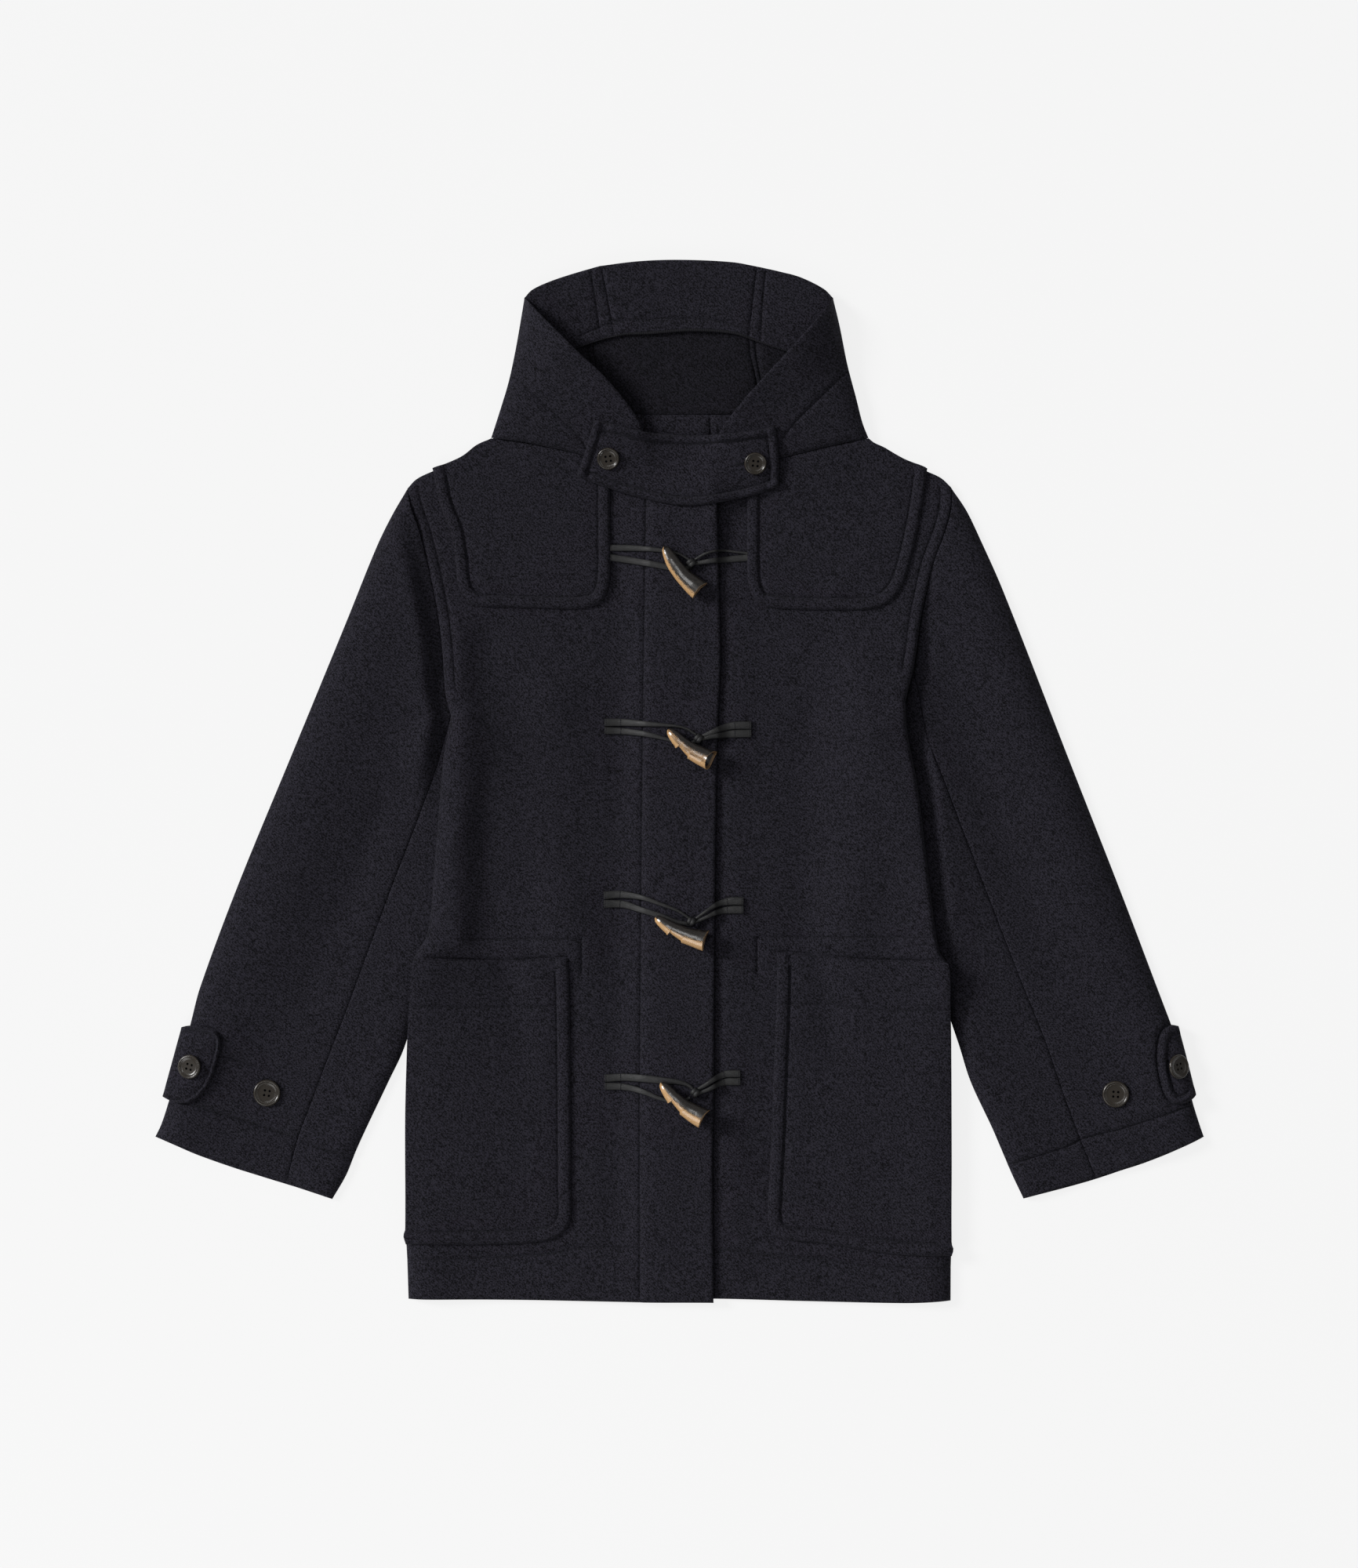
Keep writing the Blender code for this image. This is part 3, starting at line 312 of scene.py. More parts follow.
def nearest(points, chain):
    """How far each point is from a chain, and how far along the chain its nearest place is."""
    chain = np.asarray(chain, float)
    start, run = chain[:-1], np.diff(chain, axis=0)
    square = np.maximum((run * run).sum(1), 1e-9)
    walked = np.r_[0, np.cumsum(np.sqrt(square))]
    stride = 5  # only the chain's pieces round the nearest of every fifth corner are measured
    knots = np.arange(0, len(chain), stride)
    reach = np.arange(-stride - 1, stride + 1)
    away, along = np.empty(len(points)), np.empty(len(points))
    for first in range(0, len(points), AT_ONCE):
        part = points[first : first + AT_ONCE]
        rough = ((part[:, None] - chain[knots][None]) ** 2).sum(2).argmin(1)
        near = np.clip(knots[rough][:, None] + reach, 0, len(start) - 1)
        rest = part[:, None] - start[near]
        t = clipped((rest * run[near]).sum(2) / square[near])
        gap = np.linalg.norm(rest - t[..., None] * run[near], axis=2)
        best = gap.argmin(1)
        row = np.arange(len(part))
        away[first : first + AT_ONCE] = gap[row, best]
        at = near[row, best]
        along[first : first + AT_ONCE] = walked[at] + t[row, best] * np.sqrt(square[at])
    return away, along


def turned_area(ring):
    """The ring's area, below zero where it runs clockwise."""
    x, y = ring.T
    return (x * np.roll(y, -1) - np.roll(x, -1) * y).sum() / 2


def normals_of(chain, closed=False):
    """The direction on each point's left."""
    if closed:
        run = np.roll(chain, -1, 0) - np.roll(chain, 1, 0)
    else:
        run = np.gradient(chain, axis=0)
    run = run / np.maximum(np.linalg.norm(run, axis=1), 1e-9)[:, None]
    return np.stack([-run[:, 1], run[:, 0]], 1)


def inside(points, ring):
    """Which points lie inside the ring."""
    x0, y0 = ring.T
    x1, y1 = np.roll(ring, -1, 0).T
    slope = (x1 - x0) / np.where(y1 == y0, 1e-9, y1 - y0)
    found = np.empty(len(points), bool)
    for first in range(0, len(points), AT_ONCE):
        x, y = points[first : first + AT_ONCE, 0][:, None], points[first : first + AT_ONCE, 1][:, None]
        crosses = (y0 > y) != (y1 > y)
        found[first : first + AT_ONCE] = (crosses & (x < x0 + (y - y0) * slope)).sum(1) % 2 == 1
    return found


def waves(points, seed, high, short, long, count=10):
    """A soft uneven surface: a few long waves in all directions."""
    draw = np.random.default_rng(seed)
    height = np.zeros(len(points))
    for _ in range(count):
        length, turn, phase = draw.uniform(short, long), draw.uniform(0, math.tau), draw.uniform(0, math.tau)
        across = points @ (math.cos(turn), math.sin(turn))
        height += np.sin(across * math.tau / length + phase) * (length / long)
    return high * height / math.sqrt(count / 2)


# ---- the height field
class Ground:
    """The height of everything laid so far, over the coat's plan."""

    CELL = 2.0
    FAR_X, LOW_Y, HIGH_Y = 486, -16, 950
    BLURS = (11,) * 6 + (7,) * 8 + (5,) * 8 + (3,) * 4  # in cells, one after another

    def __init__(self):
        self.x = np.arange(-self.FAR_X, self.FAR_X + 0.1, self.CELL)
        self.y = np.arange(self.LOW_Y, self.HIGH_Y + 0.1, self.CELL)
        self.top = np.zeros((len(self.y), len(self.x)))
        self.before_patches = self.top

    def mask(self, ring):
        """The cells inside the ring."""
        found = np.zeros(self.top.shape, bool)
        x0, y0 = ring.T
        x1, y1 = np.roll(ring, -1, 0).T
        for row, y in enumerate(self.y):
            hit = (y0 > y) != (y1 > y)
            if hit.any():
                cuts = x0[hit] + (y - y0[hit]) * (x1[hit] - x0[hit]) / (y1[hit] - y0[hit])
                found[row] = np.searchsorted(np.sort(cuts), self.x) % 2 == 1
        return found

    def cells(self, mask):
        """The middles of the mask's cells."""
        row, column = np.nonzero(mask)
        return np.stack([self.x[column], self.y[row]], 1)

    @staticmethod
    def blur(values, size):
        """Each value as the mean of a square of cells round it."""
        half = size // 2
        for axis in (0, 1):
            pad = [(half + 1, half) if a == axis else (0, 0) for a in (0, 1)]
            total = np.cumsum(np.pad(values, pad, mode="edge"), axis)
            count = total.shape[axis]
            values = (total.take(range(size, count), axis) - total.take(range(count - size), axis)) / size
        return values

    def drape(self, mask, gap):
        """The lowest smooth surface over what lies in the mask."""
        window = tuple(slice(max(used[0] - 4, 0), used[-1] + 5)
                       for used in (np.flatnonzero(mask.any(1)), np.flatnonzero(mask.any(0))))
        part, top = mask[window], self.top[window]
        work = (self.blur(part.astype(float), 5) > 0.01).astype(float)
        need = np.where(part & (top > 0), top + gap, 0.0)
        height = need.copy()
        for size in self.BLURS:
            weight = np.maximum(self.blur(work, size), 1e-3)
            height = np.maximum(self.blur(height * work, size) / weight, need) * work
        whole = np.zeros(self.top.shape)
        whole[window] = height
        return whole

    def lay(self, mask, heights):
        """Raises the ground in the mask to the heights."""
        self.top[mask] = np.maximum(self.top[mask], heights)

    def at(self, field, points):
        """A field's value at each point, from the four cells round it."""
        u = (points[:, 0] - self.x[0]) / self.CELL
        v = (points[:, 1] - self.y[0]) / self.CELL
        i = np.clip(u.astype(int), 0, len(self.x) - 2)
        j = np.clip(v.astype(int), 0, len(self.y) - 2)
        a, b = clipped(u - i), clipped(v - j)
        return ((field[j, i] * (1 - a) + field[j, i + 1] * a) * (1 - b)
                + (field[j + 1, i] * (1 - a) + field[j + 1, i + 1] * a) * b)

    def over(self, points, radius):
        """The highest surface within a radius of each point."""
        turns = np.arange(8) * math.tau / 8
        ring = [(0, 0)] + [(radius * math.cos(a), radius * math.sin(a)) for a in turns]
        return np.max([self.at(self.top, points + np.array(step)) for step in ring], axis=0)


ground = Ground()

# How each kind of edge is finished: depth from the top to the edge, how far in the rounding reaches,
# and the rows of points that carry it.
EDGES = {
    "turned": {"drop": 2.6, "reach": 3.4, "rows": (0.25, 0.9, 1.9, 3.2)},
    "raw": {"drop": 1.6, "reach": 1.8, "rows": (0.4, 1.1, 2.0)},
    "seam": {"drop": 1.3, "reach": 3.4, "rows": (0.8, 1.8, 3.4)},
    "side": {"drop": 1.7, "reach": 2.6, "rows": (0.3, 1.0, 2.2, 4.0, 6.5, 9.5, 13.0)},
    "fold": {"drop": 0.0, "reach": 11.0, "rows": (0.3, 1.0, 2.2, 4.0, 6.5, 9.5)},
    "hidden": {"drop": 1.2, "reach": 2.0, "rows": (2.0,)},
}
GROOVE_ROWS = (-1.7, -0.8, 0.0, 0.8, 1.7)
MARGIN_ROWS = (-2.4, *GROOVE_ROWS, 2.6)
COARSE_INSET = 1.4  # of the one row of points along a hidden side's edges
COARSE = 22.0  # spacing of the points on a hidden side


class Layer:
    """One layer of cloth on the plan: its labelled edges, and the height of its top and underside.

    Each edge is its kind, its chain of points and, where it has a stitch line, the margin to that.
    """

    FOLD_WAVES = ((0.28, 31), (0.12, 13))  # a fold's unevenness along it: share and length
    MARGIN_PUCKER, GROOVE_PUCKER = 0.22, 0.16
    HOLLOW_AT, HOLLOW_REACH = 3, 3.4  # the soft hollow on the inner side of a margin's stitch line
    SAME_POINT = 0.55  # points that fall in one cell of this size count as one

    def __init__(self, edges, sizes, seed=1, thick=None, loft=None, folds=(), grooves=(), ripple=None,
                 lowest=None, plateaus=(), inset=None):
        self.sizes, self.seed = sizes, seed
        self.edges = [(kind, np.asarray(chain), *(margin or [None])) for kind, chain, *margin in edges]
        self.thick = sizes.cloth if thick is None else thick
        self.loft, self.folds, self.lowest, self.plateaus = loft, folds, lowest, plateaus
        self.grooves = [smooth(path) for path in grooves if path]
        self.deep = 1.0  # share of the usual groove depth
        self.ripple = sizes.ripple if ripple is None else ripple
        ring = np.vstack([chain[:-1] for _, chain, _ in self.edges])
        self.turn = 1 if turned_area(ring) > 0 else -1
        inset = sizes.seam_gap / 2 if inset is None else inset
        self.ring = ring + normals_of(ring, True) * self.turn * inset
        self.mask = ground.mask(ring)
        self.base = None

    @property
    def flat_size(self):
        """Width, length and area of the cut, in metres."""
        ring = self.ring - self.ring.mean(0)
        axes = np.linalg.eigh(ring.T @ ring)[1]
        spans = np.ptp(ring @ axes, axis=0) * MM
        return spans.min(), spans.max(), abs(turned_area(self.ring)) * MM * MM

    def settle(self):
        """Drapes the layer over what is laid so far."""
        self.base = ground.drape(self.mask, self.sizes.gap)
        return self

    def lay(self):
        """Raises the ground to the layer's top."""
        ground.lay(self.mask, self.top(ground.cells(self.mask)))
        return self

    def under(self, points):
        """Height of the underside."""
        height = ground.at(self.base, points)
        if self.loft:
            height = height + self.loft(points)
        for path, high, wide in self.folds:
            away, along = nearest(points, smooth(path, 12))
            (slow, long), (quick, short) = self.FOLD_WAVES
            uneven = 1 + slow * np.sin(along / long + high * 3) + quick * np.sin(along / short + wide)
            height = height + high * self.sizes.folds * uneven * bell(away / wide)
        return height + np.maximum(waves(points, self.seed, self.ripple, 60, 240), -self.sizes.gap)

    def top(self, points):
        """Height of the top, with its edges, margins and grooves."""
        height = self.under(points) + self.thick
        cut = np.zeros(len(points))
        depth, width = self.sizes.groove_depth, self.sizes.groove_width
        for inner, outer, rise in self.plateaus:
            height = height + rise * ease(inner(points) / outer)
        for number, (kind, chain, margin) in enumerate(self.edges):
            form = EDGES[kind]
            away, along = nearest(points, chain)
            drop = form["drop"]
            if kind == "fold":
                drop = (height - ground.at(self.lowest, points)) / 2
            if margin:
                swell = np.sin(math.pi * clipped(away / margin)) ** 0.6
                pucker = 1 + self.MARGIN_PUCKER * puckers(along, 2.9, 2.2, 17, number)
                height = height + self.sizes.rim * swell * pucker
                height = height - depth * bell((away - margin) / width)
                height = height - 0.5 * depth * bell((away - margin - self.HOLLOW_AT) / self.HOLLOW_REACH)
                drop = drop + 0.3
            if kind == "seam":
                share = (1 - clipped(away / form["reach"])) ** 2
            else:
                share = 1 - quarter_round(away / form["reach"])
            cut = np.maximum(cut, drop * share)
        for number, path in enumerate(self.grooves):
            away, along = nearest(points, path)
            height = height - depth * self.deep * bell(away / width)
            pucker = puckers(along, 2.7, 2.5, 19, number)
            height = height + self.GROOVE_PUCKER * pucker * bell(away / 6) * (1 - bell(away / 2))
        return height - cut

    def inner_points(self, spacing, fine):
        """Points inside the ring for its net: rows along the edges and grooves, and a grid between."""
        rows = []
        for kind, chain, margin in self.edges:
            normal = normals_of(chain) * self.turn
            insets = list(EDGES[kind]["rows"] if fine else (COARSE_INSET,))
            if margin and fine:
                insets += [margin + step for step in MARGIN_ROWS]
            rows += [(chain + normal * inset, inset) for inset in insets]
        placed = []
        closed = np.vstack([self.ring, self.ring[:1]])
        for points, inset in rows:
            kept = inside(points, self.ring) & (nearest(points, closed)[0] > inset * 0.8 - 0.15)
            placed.append(points[kept])
        if fine:
            for path in self.grooves:
                normal = normals_of(path)
                for points in (path + normal * step for step in GROOVE_ROWS):
                    kept = inside(points, self.ring) & (nearest(points, closed)[0] > 0.8)
                    placed.append(points[kept])
        low, high = self.ring.min(0), self.ring.max(0)
        lines = np.arange(low[1], high[1], spacing * math.sqrt(3) / 2)
        across = np.arange(low[0], high[0], spacing)
        grid = np.stack([np.add.outer((np.arange(len(lines)) % 2) * spacing / 2, across),
                         np.repeat(lines[:, None], len(across), 1)], 2).reshape(-1, 2)
        grid = grid[inside(grid, self.ring)]
        clear = nearest(grid, closed)[0] > (0 if fine else COARSE_INSET + spacing * 0.4)
        if fine:
            for kind, chain, margin in self.edges:
                away = nearest(grid, chain)[0]
                clear &= away > EDGES[kind]["rows"][-1] + spacing * 0.45
                if margin:
                    clear &= np.abs(away - margin) > MARGIN_ROWS[-1] + spacing * 0.35
            for path in self.grooves:
                clear &= nearest(grid, path)[0] > GROOVE_ROWS[-1] + spacing * 0.4
        placed.append(grid[clear])
        points = np.vstack(placed)
        first = np.unique(np.round(points / self.SAME_POINT).astype(int), axis=0, return_index=True)[1]
        return points[np.sort(first)]


class Cloth:
    """Collects the corners and faces of one piece. Nets that meet at a line share its corners."""

    def __init__(self):
        self.points, self.faces = [], []

    def corners(self, plan, heights):
        """Adds points and returns their numbers."""
        first = len(self.points)
        self.points += [(x, y, z) for (x, y), z in zip(plan, np.broadcast_to(heights, len(plan)))]
        return np.arange(first, len(self.points))

    def net(self, ring, ids, inner, height, up):
        """Triangles over the ring's area. Its own corners are given, and the inner ones get their height."""
        count = len(ring)
        vertices = [Vector(p) for p in np.vstack([ring, inner])]
        found = delaunay_2d_cdt(vertices, [], [list(range(count))], 1, 1e-4)
        plan = np.array([tuple(v) for v in found[0]])
        index = np.full(len(plan), -1)
        for number, origins in enumerate(found[3]):
            for origin in origins:
                if origin < count:
                    index[number] = ids[origin]
                    break
        fresh = np.flatnonzero(index < 0)
        index[fresh] = self.corners(plan[fresh], height(plan[fresh]))
        faces = np.array([f for f in found[2] if len(f) == 3])
        a, b, c = (plan[faces[:, k]] for k in range(3))
        turn = (b - a)[:, 0] * (c - a)[:, 1] - (b - a)[:, 1] * (c - a)[:, 0]
        flip = (turn < 0) == up
        faces[flip] = faces[flip][:, ::-1]
        faces = index[faces]
        whole = (faces[:, 0] != faces[:, 1]) & (faces[:, 1] != faces[:, 2]) & (faces[:, 0] != faces[:, 2])
        self.faces += [tuple(int(v) for v in f) for f in faces[whole]]

    def wall(self, upper, lower, turn):
        """A strip of faces between two rings of corners."""
        for k in range(len(upper)):
            face = (upper[k], lower[k], lower[(k + 1) % len(lower)], upper[(k + 1) % len(upper)])
            self.faces.append(tuple(int(v) for v in (face if turn > 0 else face[::-1])))

    def build(self, name, material):
        return add_mesh(name, np.array(self.points), self.faces, material)


def round_faces(first, second, sides, order=(0, 1, 3, 2)):
    """The faces between two rings of corners, each given by its first corner's number."""
    faces = []
    for k in range(sides):
        after = (k + 1) % sides
        corners = (first + k, first + after, second + k, second + after)
        faces.append(tuple(corners[number] for number in order))
    return faces


def add_mesh(name, points, faces, material, smooth_angle=50, grain=None):
    """An object on the root body, from points in plan millimetres. Edges above the angle stay sharp."""
    placed = (points - (0, HEM_TO_MIDDLE, 0)) * MM
    mesh = bpy.data.meshes.new(name)
    mesh.from_pydata([tuple(p) for p in placed], [], faces)
    mesh.shade_smooth()
    if smooth_angle < 180:
        mesh.set_sharp_from_angle(angle=math.radians(smooth_angle))
    mesh.materials.append(material)
    if grain is not None:
        own = mesh.attributes.new("grain", "FLOAT_VECTOR", "POINT")
        own.data.foreach_set("vector", np.asarray(grain, np.float32).ravel())
    obj = bpy.data.objects.new(name, mesh)
    bpy.context.scene.collection.objects.link(obj)
    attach(obj, "root")
    return obj


def flat_piece(name, layer, material, spacing=4.6):
    """A closed sheet: a fine top and a coarse underside that share the ring."""
    layer.settle().lay()
    cloth = Cloth()
    ring = layer.ring
    ids = cloth.corners(ring, layer.top(ring))
    cloth.net(ring, ids, layer.inner_points(spacing, True), layer.top, True)
    cloth.net(ring, ids, layer.inner_points(COARSE, False), layer.under, False)
    return cloth.build(name, material)


def folded_piece(name, upper, lower, material, spacing=4.6, lower_spacing=16.0, painted_shade_finish=None):
    """A wall of cloth folded round the first edge of both layers: outer and inner surfaces all round."""
    cloth = Cloth()
    fold = len(upper.edges[0][1])
    high_ring, low_ring = upper.ring, lower.ring
    outer = cloth.corners(high_ring, upper.top(high_ring))
    low = cloth.corners(low_ring, ground.at(lower.base, low_ring) + lower.thick * 0.45)
    outer_low = low.copy()
    outer_low[:fold] = outer[:fold]
    within = high_ring + normals_of(high_ring, True) * upper.turn * upper.sizes.cloth
    inner_fold = cloth.corners(within[:fold], upper.top(high_ring[:fold]))
    inner_high, inner_low = outer.copy(), low.copy()
    inner_high[:fold], inner_low[:fold] = inner_fold, inner_fold
    high_inner_ring, low_inner_ring = high_ring.copy(), low_ring.copy()
    high_inner_ring[:fold] = within[:fold]
    low_inner_ring[:fold] = within[:fold]
    fine, coarse = upper.inner_points(spacing, True), upper.inner_points(COARSE, False)
    below = lower.inner_points(lower_spacing, lower_spacing < 10)
    clear = upper.sizes.cloth * 2
    coarse, below = (some[nearest(some, upper.edges[0][1])[0] > clear] for some in (coarse, below))
    cloth.net(high_ring, outer, fine, upper.top, True)
    outside = len(cloth.faces)
    cloth.net(high_inner_ring, inner_high, coarse, upper.under, False)
    cloth.net(low_inner_ring, inner_low, below, lower.top, True)
    within_fold = len(cloth.faces)
    floor = lower.inner_points(COARSE, False)
    cloth.net(low_ring, outer_low, floor, lambda points: ground.at(lower.base, points), False)
    made = cloth.build(name, material)
    # The faces within the fold, seen inside the hood, take the second material, the darker melton given here:
    # painted shade.
    if painted_shade_finish:
        made.data.materials.append(painted_shade_finish)
        for face in made.data.polygons[outside:within_fold]:
            face.material_index = 1
    return made


# ---- stitches
def thread_ends(path, layer_top, pitch, length):
    """The two ends of every stitch along a path, lying on the cloth."""
    path = resample(path, 1.0)
    walked = np.r_[0, np.cumsum(np.hypot(*np.diff(path, axis=0).T))]
    starts = np.arange(pitch * 0.4, walked[-1] - length, pitch)
    ends = []
    for shift in (0, length):
        plan = np.stack([np.interp(starts + shift, walked, path[:, k]) for k in (0, 1)], 1)
        ends.append(np.c_[plan, layer_top(plan)])
    return np.stack(ends, 1)


# A stitch from end to end: share of its length, share of its radius, and how much of it is sunk.
STITCH = ((0, 0.3, -0.3), (0.14, 0.9, 0), (0.86, 0.9, 0), (1, 0.3, -0.3))
STITCH_SIDES = 6


def stitches(name, ends, radius=0.3, sink=0.05):
    """One mesh of small rounded stitches."""
    points, faces = [], []
    turns = np.arange(STITCH_SIDES) * math.tau / STITCH_SIDES
    for a, b in ends:
        axis = b - a
        length = np.linalg.norm(axis)
        if length < 0.3:
            continue
        axis = axis / length
        across = np.array((-axis[1], axis[0], 0.0))
        across /= max(np.linalg.norm(across), 1e-6)
        up = np.cross(axis, across)
        first = len(points)
        for share, wide, deep in STITCH:
            middle = a + (b - a) * share + np.array((0, 0, radius * (0.35 + deep) - sink))
            for t in turns:
                points.append(middle + (across * math.cos(t) + up * math.sin(t)) * radius * wide)
        rings = [first + k * STITCH_SIDES for k in range(len(STITCH))]
        for ring, after in zip(rings, rings[1:]):
            faces += round_faces(ring, after, STITCH_SIDES)
        faces.append(tuple(range(first, first + STITCH_SIDES))[::-1])
        faces.append(tuple(range(rings[-1], rings[-1] + STITCH_SIDES)))
    return add_mesh(name, np.array(points), faces, finish("sewing_thread"), 180)


# ---- shader nodes
class Wire:
    """A node's output. Arithmetic on it adds Math nodes."""

    def __init__(self, tree, socket):
        self.tree, self.socket = tree, socket

    def math(self, operation, first, second):
        node = self.tree.nodes.new("ShaderNodeMath")
        node.operation = operation
        for socket, value in zip(node.inputs, (first, second)):
            if isinstance(value, Wire):
                self.tree.links.new(value.socket, socket)
            else:
                socket.default_value = value
        return Wire(self.tree, node.outputs[0])

    def __add__(self, other):
        return self.math("ADD", self, other)

    def __radd__(self, other):
        return self.math("ADD", other, self)

    def __sub__(self, other):
        return self.math("SUBTRACT", self, other)

    def __rsub__(self, other):
        return self.math("SUBTRACT", other, self)

    def __mul__(self, other):
        return self.math("MULTIPLY", self, other)

    def __rmul__(self, other):
        return self.math("MULTIPLY", other, self)


class Finish:
    """One procedural material."""

    def __init__(self, name, **uniform):
        self.material = bpy.data.materials.new(name)
        self.material.use_nodes = True
        self.tree = self.material.node_tree
        self.shader = self.tree.nodes["Principled BSDF"]
        for key, value in uniform.items():
            self.shader.inputs[key.replace("_", " ")].default_value = value

    def node(self, kind, settings, sockets, out=0):
        """Adds a node and returns one of its outputs."""
        made = self.tree.nodes.new(kind)
        for key, value in settings.items():
            setattr(made, key, value)
        for key, value in sockets.items():
            if isinstance(value, Wire):
                self.tree.links.new(value.socket, made.inputs[key])
            else:
                made.inputs[key].default_value = value
        return Wire(self.tree, made.outputs[out])

    def place(self):
        return self.node("ShaderNodeTexCoord", {}, {}, "Object")

    def noise(self, where, scale, detail=2.0, rough=0.5):
        sockets = {"Vector": where, "Scale": scale, "Detail": detail, "Roughness": rough}
        return self.node("ShaderNodeTexNoise", {}, sockets, 0)

    def stretched(self, where, scale, turn=(0, 0, 0)):
        return self.node("ShaderNodeMapping", {}, {"Vector": where, "Scale": scale, "Rotation": turn})

    def band(self, value, low, high):
        """0 below low, 1 above high."""
        sockets = {"Value": value, "From Min": low, "From Max": high}
        return self.node("ShaderNodeMapRange", {"interpolation_type": "SMOOTHSTEP"}, sockets)

    def mix(self, share, first, second):
        sockets = {0: share, 6: first if isinstance(first, Wire) else (*first, 1),
                   7: second if isinstance(second, Wire) else (*second, 1)}
        return self.node("ShaderNodeMix", {"data_type": "RGBA"}, sockets, 2)

    def put(self, socket, wire):
        self.tree.links.new(wire.socket, self.shader.inputs[socket])

    def bump(self, height, strength, distance):
        sockets = {"Height": height, "Strength": strength, "Distance": distance}
        self.put("Normal", self.node("ShaderNodeBump", {}, sockets))


def tinted(colour, factor):
    """A colour with all its parts multiplied by the factor."""
    return tuple(c * factor for c in colour)


def wool_finish(colours, name="melton_wool", depth=1.0):
    """Navy melton: felted wool with a fine mottled nap and a faint twill under it."""
    # A depth below 1 darkens the whole colour: painted shade, as for the inside of the hood.
    wool = tinted(tuple(colours.wool), depth)
    made = Finish(name, Roughness=0.92, Specular_IOR_Level=0.08, Sheen_Weight=colours.sheen,
                  Sheen_Roughness=0.55, Sheen_Tint=(0.75, 0.76, 0.85, 1))
    where = made.place()
    nap = made.noise(where, 1150, 2, 0.6)
    tuft = made.noise(where, 560, 2, 0.6)
    cloud = made.noise(where, 150, 2, 0.5)
    twill = made.node("ShaderNodeTexWave", {"wave_type": "BANDS", "bands_direction": "DIAGONAL"},
                      {"Vector": where, "Scale": 210, "Distortion": 6, "Detail": 2, "Detail Scale": 1.5}, 1)
    grain = 0.42 * nap + 0.46 * tuft + 0.06 * cloud + 0.06 * twill
    shade = made.mix(made.band(grain, 0.39, 0.61), tinted(wool, 0.14), tinted(wool, 2.0))
    red = made.band(made.noise(made.stretched(where, (1, 1, 1), (0.4, 0.2, 0.9)), 1900, 1), 0.66, 0.78)
    pale = made.band(made.noise(made.stretched(where, (1, 1, 1), (1.1, 0.5, 0.3)), 1500, 1), 0.64, 0.78)
    shade = made.mix(0.3 * red, shade, (wool[0] * 2.0, wool[1] * 1.3, wool[2] * 1.4))
    shade = made.mix(0.5 * pale, shade, tinted(wool, 3.2))
    made.put("Base Color", shade)
    made.put("Roughness", 0.86 + 0.12 * nap)
    made.bump(0.5 * nap + 0.5 * tuft + 0.08 * twill, 0.6, 0.0006)
    return made.material


def painted_shade_wool_finish(colours):
    """The flat reverse of the melton, seen inside the hood, made darker as painted shade."""
    return wool_finish(colours, "melton_painted_shade", 0.61)


def tape_finish(colours):
    """Binding tape: ribbed across its length."""
    made = Finish("ribbed_tape", Roughness=0.8, Specular_IOR_Level=0.15)
    where = made.place()
    ribs = made.node("ShaderNodeTexWave", {"wave_type": "BANDS", "bands_direction": "X"},
                     {"Vector": where, "Scale": 190.0, "Distortion": 0.6, "Detail": 1.0}, 1)
    fuzz = made.noise(where, 1600, 2)
    tape = tuple(colours.tape)
    made.put("Base Color", made.mix(0.6 * ribs + 0.4 * fuzz, tinted(tape, 0.7), tinted(tape, 1.3)))
    made.bump(ribs + 0.3 * fuzz, 0.5, 0.0004)
    return made.material


def thread_finish(colours):
    """Sewing thread: a two-ply twist."""
    made = Finish("sewing_thread", Roughness=0.7, Specular_IOR_Level=0.2)
    where = made.place()
    twist = made.noise(where, 2600, 1)
    thread = tuple(colours.thread)
    made.put("Base Color", made.mix(made.band(twist, 0.35, 0.65), tinted(thread, 0.6), tinted(thread, 1.5)))
    made.bump(twist, 0.4, 0.0002)
    return made.material


def leather_finish(colours):
    """Dark strap leather: fine creased grain, a little paler where it is rubbed."""
    made = Finish("strap_leather", Specular_IOR_Level=0.36)
    where = made.place()
    pores = made.node("ShaderNodeTexVoronoi", {"feature": "DISTANCE_TO_EDGE"},
                      {"Vector": where, "Scale": 1250.0})
    grain = made.band(pores, 0.0, 0.22)
    rub = made.noise(where, 190, 3, 0.6)
    leather = tuple(colours.leather)
    shade = made.mix(made.band(rub, 0.35, 0.7), tinted(leather, 0.75), tinted(leather, 1.35))
    made.put("Base Color", made.mix(0.35 * (1 - grain), shade, tinted(leather, 0.4)))
    made.put("Roughness", 0.4 + 0.22 * rub)
    made.bump(grain + 0.5 * rub, 0.35, 0.0002)
    return made.material


